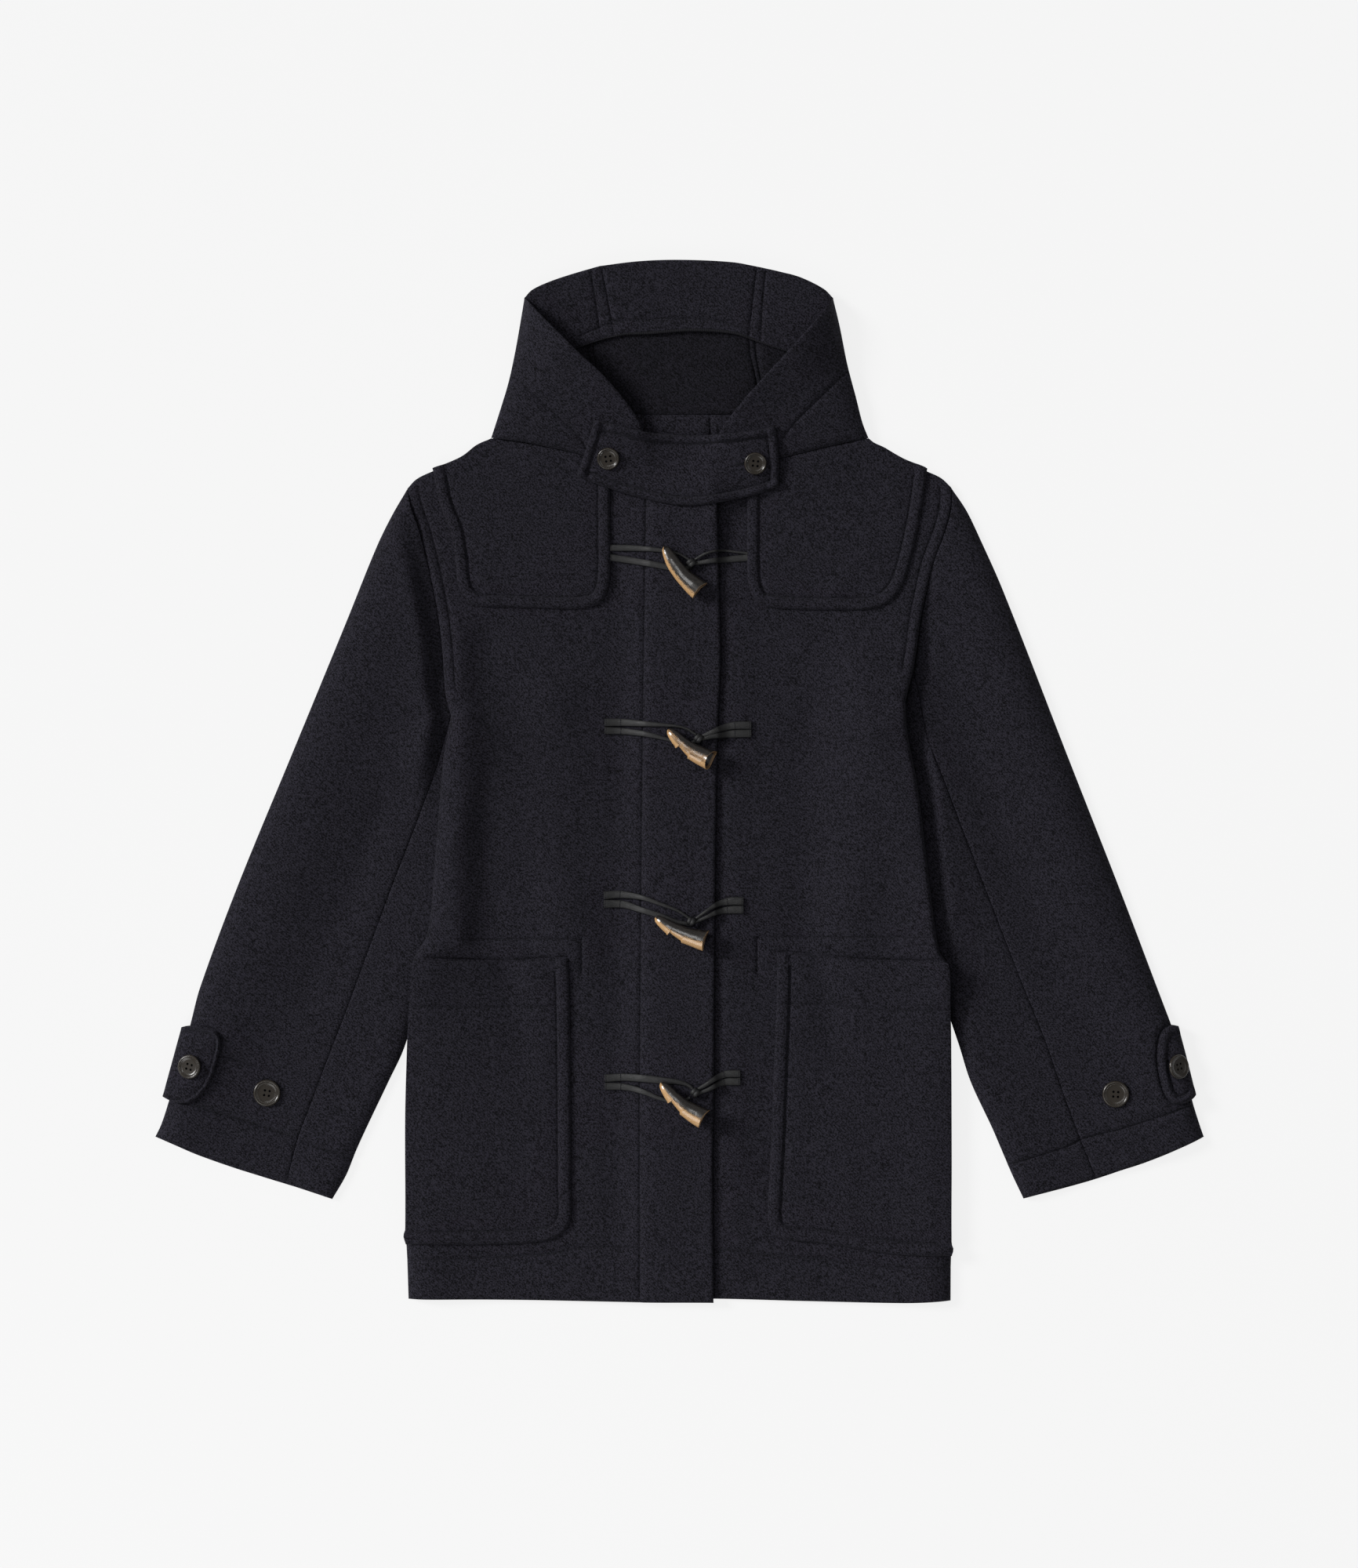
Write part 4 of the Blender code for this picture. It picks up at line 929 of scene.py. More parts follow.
def horn_finish(colours):
    """Polished horn: near black on its upper side, tan along the other, streaked along its length. Inside its
    hollow end it is dark and has no coat: painted shade.
    """
    made = Finish("polished_horn", Specular_IOR_Level=0.5, Coat_Weight=0.7, Coat_Roughness=0.19)
    own = made.node("ShaderNodeAttribute", {"attribute_name": "grain"}, {}, "Vector")
    parts = made.node("ShaderNodeSeparateXYZ", {}, {"Vector": own})
    across = Wire(made.tree, parts.socket.node.outputs[1])
    kind = Wire(made.tree, parts.socket.node.outputs[2])
    fibre = made.noise(made.stretched(own, (1.6, 9.0, 0.0)), 4.0, 4, 0.65)
    streak = made.noise(made.stretched(own, (0.8, 24.0, 0.0)), 3.0, 3, 0.6)
    edge = across + 0.3 * (fibre - 0.5) + 0.5 * (streak - 0.5) + kind
    tan = made.band(edge, 0.06, 0.17)
    dark, pale = tuple(colours.horn_dark), tuple(colours.horn_tan)
    body = made.mix(made.band(streak, 0.45, 0.66), dark, tinted(dark, 5.0))
    lines = made.noise(made.stretched(own, (0.5, 34.0, 0.0)), 3.0, 2, 0.6)
    old = made.band(lines, 0.43, 0.5) * made.band(0.3 - across, 0.0, 0.12) * made.band(kind, 0.1, 0.15)
    warm = made.mix(made.band(fibre, 0.42, 0.66), pale, (pale[0] * 1.3, pale[1] * 1.55, pale[2] * 2.1))
    warm = made.mix(0.85 * old, warm, (pale[0] * 0.1, pale[1] * 0.08, pale[2] * 0.07))
    made.put("Base Color", made.mix(tan, body, warm))
    made.put("Roughness", 0.24 + 0.08 * fibre)
    # No coat inside the hollow end, so its dark colour there stays unlit: painted shade.
    made.put("Coat Weight", 0.7 * made.band(kind, -0.42, -0.25))
    made.bump(fibre + 0.5 * streak, 0.05, 0.0003)
    return made.material


def button_finish(colours):
    """Buttons cut from dark horn, clouded, with a satin polish."""
    made = Finish("button_horn", Specular_IOR_Level=0.5, Coat_Weight=0.5, Coat_Roughness=0.16)
    where = made.place()
    cloud = made.noise(made.stretched(where, (1.0, 0.3, 1.0), (0, 0, 0.6)), 210, 3, 0.6)
    fine = made.noise(where, 1500, 2)
    button = tuple(colours.button)
    shade = made.mix(made.band(cloud, 0.36, 0.66), tinted(button, 0.6), tinted(button, 1.6))
    tan = made.band(made.noise(where, 160, 1), 0.7, 0.76)
    made.put("Base Color", made.mix(0.12 * tan, shade, (button[0] * 4, button[1] * 3.4, button[2] * 2.6)))
    made.put("Roughness", 0.32 + 0.2 * fine)
    made.bump(fine, 0.12, 0.0002)
    return made.material


MAKERS = {
    "melton_wool": wool_finish,
    "melton_painted_shade": painted_shade_wool_finish,
    "ribbed_tape": tape_finish,
    "sewing_thread": thread_finish,
    "strap_leather": leather_finish,
    "polished_horn": horn_finish,
    "button_horn": button_finish,
}


def finish(name):
    """The named material, made on its first use."""
    return bpy.data.materials.get(name) or MAKERS[name](bpy.context.scene.coat_colours)


# ---- shared making
def lines_of(name):
    """Every line of one side, smooth and closely spaced."""
    return {key: smooth(rows) for key, rows in LINES[name].items() if rows}


def whole_armhole(cut):
    """The armhole, with the short run of the armpit where there is one."""
    return np.vstack([cut["armhole"], cut["armpit"][1:]]) if "armpit" in cut else cut["armhole"]


def strap_ring(cut):
    return np.vstack([cut["strap"], cut["strap_fold"][1:-1]])


def declare(node, layers):
    """Hides a piece's node, and works out the width, length and area of its cut, which are not used further.
    """
    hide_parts(node)
    sizes = [layer.flat_size for layer in layers]
    wide, long = sum(s[0] for s in sizes), max(s[1] for s in sizes)
    area = min(sum(s[2] for s in sizes), wide * long)


def sew(name, layer, paths, sizes):
    """The stitching of one piece, along its grooves and any other paths."""
    ends = np.vstack([thread_ends(path, layer.top, sizes.pitch, sizes.stitch) for path in paths])
    kept = inside(ends[:, 0, :2], layer.ring) & inside(ends[:, 1, :2], layer.ring)
    made = stitches(name, ends[kept])
    return made


def margin_path(layer, number):
    """The stitch line that runs inside an edge with a margin."""
    _, chain, margin = layer.edges[number]
    path = chain + normals_of(chain) * layer.turn * margin
    closed = np.vstack([layer.ring, layer.ring[:1]])
    kept = (nearest(path, closed)[0] > margin - 1.2) & inside(path, layer.ring)
    return path[kept]


def between(chain, low, high):
    """The part of a chain between two values of y, with its ends exactly there."""
    chain = chain[np.argsort(chain[:, 1])]
    at = np.r_[low, chain[(chain[:, 1] > low + 0.5) & (chain[:, 1] < high - 0.5), 1], high]
    return np.stack([np.interp(at, chain[:, 1], chain[:, 0]), at], 1)


# ---- settings
class CoatSizes(bpy.types.PropertyGroup):
    cloth: bpy.props.FloatProperty(
        name="Cloth", description="Thickness of the melton in mm", default=2.5, min=1.0, max=4.0)
    gap: bpy.props.FloatProperty(name="Gap", description="Clearance between layers in mm", default=0.3)
    seam_gap: bpy.props.FloatProperty(
        name="Seam gap", description="Clearance along a seam in mm", default=0.4)
    ripple: bpy.props.FloatProperty(
        name="Ripple", description="Height of the cloth's long waves in mm", default=0.3, min=0.0, max=2.0)
    folds: bpy.props.FloatProperty(
        name="Folds", description="Strength of the soft folds", default=1.8, subtype="FACTOR",
        min=0.0, max=3.0)
    rim: bpy.props.FloatProperty(
        name="Rim", description="Extra height of a turned and stitched edge in mm", default=1.6)
    groove_depth: bpy.props.FloatProperty(
        name="Groove depth", description="Depth of a stitch line in mm", default=1.5)
    groove_width: bpy.props.FloatProperty(
        name="Groove width", default=1.25, description="Half width of a stitch line in mm")
    pitch: bpy.props.FloatProperty(
        name="Stitch pitch", description="From stitch to stitch in mm", default=3.6)
    stitch: bpy.props.FloatProperty(name="Stitch", description="Length of a stitch in mm", default=2.6)
    brim_lift: bpy.props.FloatProperty(
        name="Brim lift", description="How high the hood's brim stands in mm", default=21.0,
        min=2.0, max=24.0)


class CoatColours(bpy.types.PropertyGroup):
    wool: bpy.props.FloatVectorProperty(
        name="Wool", description="Navy melton", subtype="COLOR", default=(0.0111, 0.0104, 0.0145))
    sheen: bpy.props.FloatProperty(
        name="Nap", description="Sheen of the wool's nap", subtype="FACTOR", default=0.03, min=0.0, max=1.0)
    tape: bpy.props.FloatVectorProperty(
        name="Tape", description="Binding tape", subtype="COLOR", default=(0.0085, 0.0082, 0.0105))
    thread: bpy.props.FloatVectorProperty(
        name="Thread", description="Sewing thread", subtype="COLOR", default=(0.006, 0.0058, 0.009))
    leather: bpy.props.FloatVectorProperty(
        name="Leather", description="Strap leather", subtype="COLOR", default=(0.0098, 0.0098, 0.0104))
    horn_dark: bpy.props.FloatVectorProperty(
        name="Dark horn", description="The horn's upper side", subtype="COLOR",
        default=(0.006, 0.0048, 0.004))
    horn_tan: bpy.props.FloatVectorProperty(
        name="Tan horn", description="The horn's pale side", subtype="COLOR", default=(0.40, 0.225, 0.09))
    button: bpy.props.FloatVectorProperty(
        name="Button", description="Button horn", subtype="COLOR", default=(0.034, 0.037, 0.044))
    floor: bpy.props.FloatVectorProperty(
        name="Floor", description="The plain floor", subtype="COLOR", default=(0.92, 0.92, 0.92))


# ---- operators
class COAT_OT_stage(bpy.types.Operator):
    """Floor, lights and camera"""

    bl_idname = "coat.stage"
    bl_label = "Stage"

    VIEW_HEIGHT = 1.4  # metres of the plan that the picture's height shows
    VIEW_MIDDLE = -0.00245  # the Y that the camera looks down on
    LENS, SENSOR = 100.0, 36.0
    AIR = 0.2  # strength of the even light from all round
    FLOOR_GLOW = 0.9  # share of the floor's colour that it gives off itself
    FLOOR_HALF, FLOOR_Z = 12.0, -0.0004
    # Each lamp: energy, a sun's angle or a softbox's sides, place, and direction of its first side.
    LAMPS = {
        "soft_window": (3.0, 18, (-2.95, 1.25, 2.0), (0, 1, 0)),
        "far_window": (0.16, 30, (2.1, 0.5, 2.0), (0, 1, 0)),
        "fill_softbox": (14.0, (1.2, 1.2), (-1.1, -1.4, 1.6), (1, 0, 0)),
        "strip_softbox": (26.0, (2.4, 0.5), (-1.05, 0.87, 4.3), (0.64, 0.77, 0)),
    }

    def execute(self, context):
        scene, colours = context.scene, context.scene.coat_colours
        floor = tuple(colours.floor)
        lit, plain = self.FLOOR_GLOW, 1 - self.FLOOR_GLOW
        floor_finish = Finish("studio_floor", Roughness=0.9, Specular_IOR_Level=0.0,
                              Emission_Color=(*tinted(floor, lit), 1), Emission_Strength=1.0)
        tone = floor_finish.noise(floor_finish.place(), 14, 2)
        floor_finish.put("Base Color", floor_finish.mix(tone, tinted(floor, plain * 0.99),
                                                        tinted(floor, plain * 1.01)))
        half = self.FLOOR_HALF
        mesh = bpy.data.meshes.new("studio_floor")
        mesh.from_pydata([(-half, -half, 0), (half, -half, 0), (half, half, 0), (-half, half, 0)], [],
                         [(0, 1, 2, 3)])
        mesh.materials.append(floor_finish.material)
        plane = bpy.data.objects.new("studio_floor", mesh)
        plane.location.z = self.FLOOR_Z
        scene.collection.objects.link(plane)
        world = bpy.data.worlds.new("studio_air")
        world.use_nodes = True
        world.node_tree.nodes["Background"].inputs["Color"].default_value = (1, 1, 1, 1)
        world.node_tree.nodes["Background"].inputs["Strength"].default_value = self.AIR
        scene.world = world
        for name, (energy, span, place, along) in self.LAMPS.items():
            box = isinstance(span, tuple)
            lamp = bpy.data.lights.new(name, "AREA" if box else "SUN")
            lamp.energy = energy
            if box:
                lamp.shape, lamp.size, lamp.size_y = "RECTANGLE", *span
            else:
                lamp.angle = math.radians(span)
            light = bpy.data.objects.new(name, lamp)
            light.location = place
            back = Vector(place).normalized()
            across = (Vector(along) - back * back.dot(Vector(along))).normalized()
            light.rotation_euler = Matrix((across, back.cross(across), back)).transposed().to_euler()
            scene.collection.objects.link(light)
        lens = bpy.data.cameras.new("camera")
        lens.lens, lens.sensor_width = self.LENS, self.SENSOR
        camera = bpy.data.objects.new("camera", lens)
        distance = self.VIEW_HEIGHT / 2 / (self.SENSOR / 2 / self.LENS)
        camera.location = (0, self.VIEW_MIDDLE, distance + 0.01)
        scene.collection.objects.link(camera)
        scene.camera = camera
        scene.view_settings.view_transform = "Standard"
        return {"FINISHED"}


# The swell of each sleeve beside the body: height, lowest and highest y, where it starts, how far it rises.
SLEEVE_SWELL = {"right": (11.5, 435, 752, 3, 17), "left": (6.5, 300, 640, 6, 13)}
RUN_UNDER = 4.0  # how far the hidden layers of a sleeve run on under the body
STRAP_PRESS = 1.2  # how far outside its edge a cuff strap presses the sleeve down


def run_under(chain, side):
    """Moves all but a chain's ends under the body, most in its middle."""
    count = len(chain) - 2
    chain[1:-1, 0] -= side * RUN_UNDER * ease(np.linspace(0, 6, count)) * ease(np.linspace(6, 0, count))


def sleeve_loft(name, cut):
    """The rise of a sleeve: rounded beside its folds and swelling beside the body."""
    side, body, arm = SIDES[name], cut["side"], whole_armhole(cut)
    high, low_y, top_y, start, reach = SLEEVE_SWELL[name]

    def loft(points):
        to_outer, to_inner = (nearest(points, cut[key])[0] for key in ("sleeve_fold", "inner_fold"))
        to_arm, y = nearest(points, arm)[0], points[:, 1]
        height = 1.2 * (1 - np.exp(-to_outer / 8)) * (1 - np.exp(-to_inner / 8))
        height = height + rise(to_outer, 5.5, 20.0)
        height = height + rise(to_inner, 2.0, 14.0)
        beside = side * (points[:, 0] - np.interp(y, body[::-1, 1], body[::-1, 0]))
        free = np.where(y > body[0, 1], to_arm, np.maximum(beside, 0)) - start
        swell = ease((y - low_y) / 60) * ease((top_y - y) / 150)
        return height + high * swell * ease(free / reach) * np.exp(-np.maximum(free - reach, 0) / 34)

    return loft


def sleeve_layers(name, side, sizes):
    """Both pieces of a sleeve: upper and lower layer each, laid in order."""
    cut = lines_of(name)
    armpit = [("seam", cut["armpit"])] if "armpit" in cut else []
    split = LINES[name]["back_seam"][0]
    back = np.array([p for p in cut["armhole"] if p[1] > split[1] + 1] + [split])
    back_rest = np.array([split] + [p for p in cut["armhole"] if p[1] < split[1] - 1])
    if armpit:
        back_rest = np.vstack([back_rest, cut["armpit"][1:]])
    for chain, number in ((back, -1), (back_rest, 0)):
        run_under(chain, side)
        chain[number, 0] -= side * RUN_UNDER
    cut["back_seam"] = np.vstack([back[-1:], cut["back_seam"]])
    outer, inner = cut["sleeve_fold"], cut["inner_fold"]
    loft = sleeve_loft(name, cut)
    low_top = Layer([("fold", outer), ("turned", cut["cuff_back"]), ("hidden", cut["back_seam"][::-1]),
                     ("hidden", back[::-1])], sizes, ripple=0.0, inset=-0.1)
    low_under = Layer([("fold", inner[::-1]), ("turned", cut["cuff_back_under"][::-1]),
                       ("hidden", cut["back_seam"][::-1]), ("hidden", back_rest),
                       ("hidden", cut["hidden_armhole"][::-1])], sizes, ripple=0.0, inset=-0.1)
    for layer in (low_top, low_under):
        layer.settle()
        layer.lowest = layer.base
    floor = low_top.base.copy()
    floor[low_under.mask] = np.maximum(floor, low_under.base)[low_under.mask]
    for layer in (low_top, low_under):
        ground.lay(layer.mask, ground.at(layer.base, ground.cells(layer.mask)) + sizes.cloth)
    tops = (
        Layer([("fold", outer), ("turned", cut["cuff"]), ("seam", cut["sleeve_seam"][::-1]),
               ("seam", cut["armhole"][::-1])], sizes, seed=11 + side, loft=loft, lowest=floor,
              folds=FOLDS["sleeve_top_" + name],
              grooves=[LINES[name]["cuff_stitch"], LINES[name]["strap_stitch"]]),
        Layer([("fold", inner[::-1]), ("turned", cut["cuff_under"][::-1]),
               ("seam", cut["sleeve_seam"][::-1])] + armpit
              + [("hidden", cut["hidden_armhole"][::-1])], sizes, seed=21 + side, loft=loft,
              lowest=floor, grooves=[LINES[name]["cuff_stitch_under"]]),
    )
    return (low_top, low_under), tops


def round_strap(name):
    """The line that the edge of a cuff strap presses into the sleeve."""
    cut = lines_of(name)
    turn = 1 if turned_area(strap_ring(cut)) > 0 else -1
    return cut["strap"] - normals_of(cut["strap"]) * turn * STRAP_PRESS


class COAT_OT_sleeves(bpy.types.Operator):
    """Both sleeves, each from a top and an under piece, with turned cuffs"""

    bl_idname = "coat.sleeves"
    bl_label = "Sleeves"

    LINES_DEEP = 1.4  # depth of the sleeves' stitch lines as a share of the usual depth

    def execute(self, context):
        sizes = context.scene.coat_sizes
        wool = finish("melton_wool")
        for name in SIDES:  # the part of each cuff strap that turns under the sleeve
            ground.lay(ground.mask(strap_ring(lines_of(name))), sizes.cloth)
        for name, side in SIDES.items():
            lows, tops = sleeve_layers(name, side, sizes)
            for top in tops:
                top.settle()
            for top in tops:
                top.lay()
            for part, low, top in zip(("top", "under"), lows, tops):
                node = f"sleeve_{part}_{name}"
                sewn = list(top.grooves)
                top.deep = self.LINES_DEEP
                if part == "top":
                    top.grooves.append(round_strap(name))
                made = folded_piece(node + "_cloth", top, low, wool)
                thread = sew(node + "_stitching", top, sewn, sizes)
                declare(node, (top, low))
        return {"FINISHED"}


def front_loft(name, cut):
    """The rise of a front: rounded at its side, raised beside the sleeve, gaping at its edge."""
    top, arm = name == "right", whole_armhole(cut)
    side_line, shoulder = cut["side"], cut["shoulder"]

    def loft(points):
        x, y = points.T
        to_side, to_shoulder = nearest(points, side_line)[0], nearest(points, shoulder)[0]
        to_arm = nearest(points, arm)[0]
        height = 0.7 * (1 - np.exp(-np.minimum(to_side, to_shoulder) / 8))
        along = ease((y - 215) / 90)
        swell = ease((y - 470) / 40) * ease((690 - y) / (120 if top else 160))
        if top:
            height = height + rise(to_side, 6.5, 19)
            height = height + ridge_beside(to_side, 1.5 * along, 2, 30)
            height = height + ridge_beside(to_arm, 3.0 * swell, 2, 40)
            gape = 5.0 * bell((y - 702) / 42) + 2.0
            return height + gape * bell((x - 36) / 22)
        height = height + rise(to_side, 6.5 * (1 - along), 19)
        height = height + ridge_beside(to_side, 9.5 * along, 1.2, 75)
        spread = 1 - along * ease((520 - y) / 30)
        return height + ridge_beside(to_arm, 7.5 * spread * swell, 1.4, 60)

    return loft


class COAT_OT_body(bpy.types.Operator):
    """Back, fronts and the hood's folded crown"""

    bl_idname = "coat.body"
    bl_label = "Back and fronts"

    ARM_STITCH = 10.0  # from the armhole seam to the stitch line beside it
    POCKET_PRESS = 1.2  # from the pocket's mouth up to the line that it presses into the front
    PLACKET_RISE = (3.0, 0.9)  # how far from its stitch line the doubled placket rises, and by how much

    def execute(self, context):
        sizes = context.scene.coat_sizes
        cuts = {name: lines_of(name) for name in SIDES}
        self.crown(sizes)
        self.back(cuts, sizes)
        for name in ("left", "right"):
            self.front(name, cuts[name], sizes)
        return {"FINISHED"}

    def crown(self, sizes):
        """The folded-away hood, as one padded piece behind the opening."""
        crown = Layer([("turned", smooth(CROWN, 6))], sizes, seed=31, thick=7.3, ripple=0.0)
        made = flat_piece("hood_crown_cloth", crown, finish("melton_wool"), 18.0)
        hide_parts("hood_crown_folded")

    def back(self, cuts, sizes):
        rows = []
        for name in ("left", "right"):
            cut = cuts[name]
            row = [("hidden", cut["side"][::-1]), ("seam", whole_armhole(cut)[::-1]),
                   ("hidden", cut["shoulder"][::-1]), ("seam", cut["back_neck"][::-1])]
            if name == "right":
                row = [(kind, chain[::-1]) for kind, chain in row[::-1]]
            rows.append(row)
        neck = [("seam", smooth(NECK_SEAM)[::-1])]
        corners = [cuts["right"]["side"][-1], *BACK_HEM, cuts["left"]["side"][-1]]
        hem = [("turned", smooth(corners))]
        back = Layer(rows[0] + neck + rows[1] + hem, sizes, seed=41, ripple=0.1, grooves=[CENTRE_BACK])
        made = flat_piece("body_back_cloth", back, finish("melton_wool"), 7.0)
        declare("body_back", [back])

    def front(self, name, cut, sizes):
        """One front. The right one lies on top, with the placket's edge and stitch line."""
        side, top, arm = SIDES[name], name == "right", whole_armhole(cut)
        edge, hem = (TOP_EDGE, TOP_HEM) if top else (UNDER_EDGE, UNDER_HEM)
        far_neck = smooth([cut["neck"][0], edge[0]])
        chains = [("side", cut["side"][::-1]), ("seam", arm[::-1]),
                  ("side", cut["shoulder"][::-1]), ("hidden", cut["neck"][::-1]),
                  ("hidden", far_neck), ("turned", smooth(edge)), ("turned", smooth(hem))]
        arm_stitch = arm - normals_of(arm) * self.ARM_STITCH * side
        bars = LINES[name]["bar_stitch"]
        grooves = [LINES[name]["hem_stitch"]] + ([PLACKET_STITCH] if top else [])
        grooves += [arm_stitch[:-6:4].tolist(), bars[:2], bars[1:]]
        front = Layer(chains, sizes, seed=51 + side, loft=front_loft(name, cut), folds=FOLDS["front_" + name],
                      grooves=grooves)
        sewn = list(front.grooves)
        front.grooves.append(cut["pocket_mouth"] + (0, self.POCKET_PRESS))
        if top:
            stitch = smooth(PLACKET_STITCH)[::-1]
            beyond = lambda points: points[:, 0] - np.interp(points[:, 1], stitch[:, 1], stitch[:, 0])
            front.plateaus = [(beyond, *self.PLACKET_RISE)]
        made = flat_piece(f"front_{name}_cloth", front, finish("melton_wool"))
        thread = sew(f"front_{name}_stitching", front, sewn, sizes)
        declare("front_" + name, [front])


class COAT_OT_patches(bpy.types.Operator):
    """Shoulder patches and patch pockets"""

    bl_idname = "coat.patches"
    bl_label = "Patches and pockets"

    PATCH_MARGIN, POCKET_MARGIN = 11.0, 12.0
    MOUTH_GAPE, MOUTH_REACH = 3.2, 26  # how much a pocket's mouth stands up, and how far down
    DIPS = {"right": (-155, -99), "left": (125, 87.5)}  # x of the mouth's dip, and of its inner corner

    def execute(self, context):
        sizes = context.scene.coat_sizes
        ground.before_patches = ground.top.copy()
        for name, side in SIDES.items():
            cut = lines_of(name)
            self.patch(name, side, cut, sizes)
            self.pocket(name, side, cut, sizes)
        return {"FINISHED"}

    def patch(self, name, side, cut, sizes):
        patch = cut["patch"]
        neck = np.array([p for p in cut["neck"] if abs(p[0]) > abs(patch[-1][0]) + 2])
        neck = np.vstack([patch[-1], neck])
        shoulder = np.array([p for p in cut["shoulder"] if abs(p[0]) < abs(patch[0][0]) - 2])
        out = normals_of(shoulder) * side * 2.5 * ease(np.linspace(0, 3, len(shoulder)))[:, None]
        shoulder = np.vstack([shoulder + out, patch[0]])
        edges = [("turned", patch, self.PATCH_MARGIN), ("hidden", neck), ("side", shoulder)]
        folds = FOLDS.get("shoulder_patch_" + name, ())
        layer = Layer(edges, sizes, seed=61 + side, folds=folds, ripple=0.15)
        made = flat_piece(f"shoulder_patch_{name}_cloth", layer, finish("melton_wool"), 4.4)
        thread = sew(f"shoulder_patch_{name}_stitching", layer, [margin_path(layer, 0)], sizes)
        declare("shoulder_patch_" + name, [layer])

    def pocket(self, name, side, cut, sizes):
        mouth, edge = cut["pocket_mouth"], cut["pocket_edge"]
        outer = between(cut["side"], edge[-1][1], mouth[0][1])
        outer[0], outer[-1] = edge[-1], mouth[0]
        dip, inner_x = self.DIPS[name]

        def loft(points):
            inwards = ease(side * (points[:, 0] - inner_x) / 40)
            gape = self.MOUTH_GAPE * bell(nearest(points, mouth)[0] / self.MOUTH_REACH) * inwards
            return gape * (1 - 0.5 * bell((points[:, 0] - dip) / 20))

        edges = [("turned", mouth), ("turned", edge, self.POCKET_MARGIN), ("hidden", outer)]
        folds = [([(dip, 312), (dip + 6, 270), (dip + 14, 215)], -1.6, 15),
                 ([(dip - 38, 240), (dip - 30, 110)], 1.0, 22)]
        layer = Layer(edges, sizes, seed=71 + side, loft=loft, grooves=[LINES[name]["mouth_stitch"]],
                      ripple=0.2, folds=folds)
        made = flat_piece(f"pocket_{name}_cloth", layer, finish("melton_wool"), 4.4)
        thread = sew(f"pocket_{name}_stitching", layer, [margin_path(layer, 1)] + layer.grooves, sizes)
        declare("pocket_" + name, [layer])


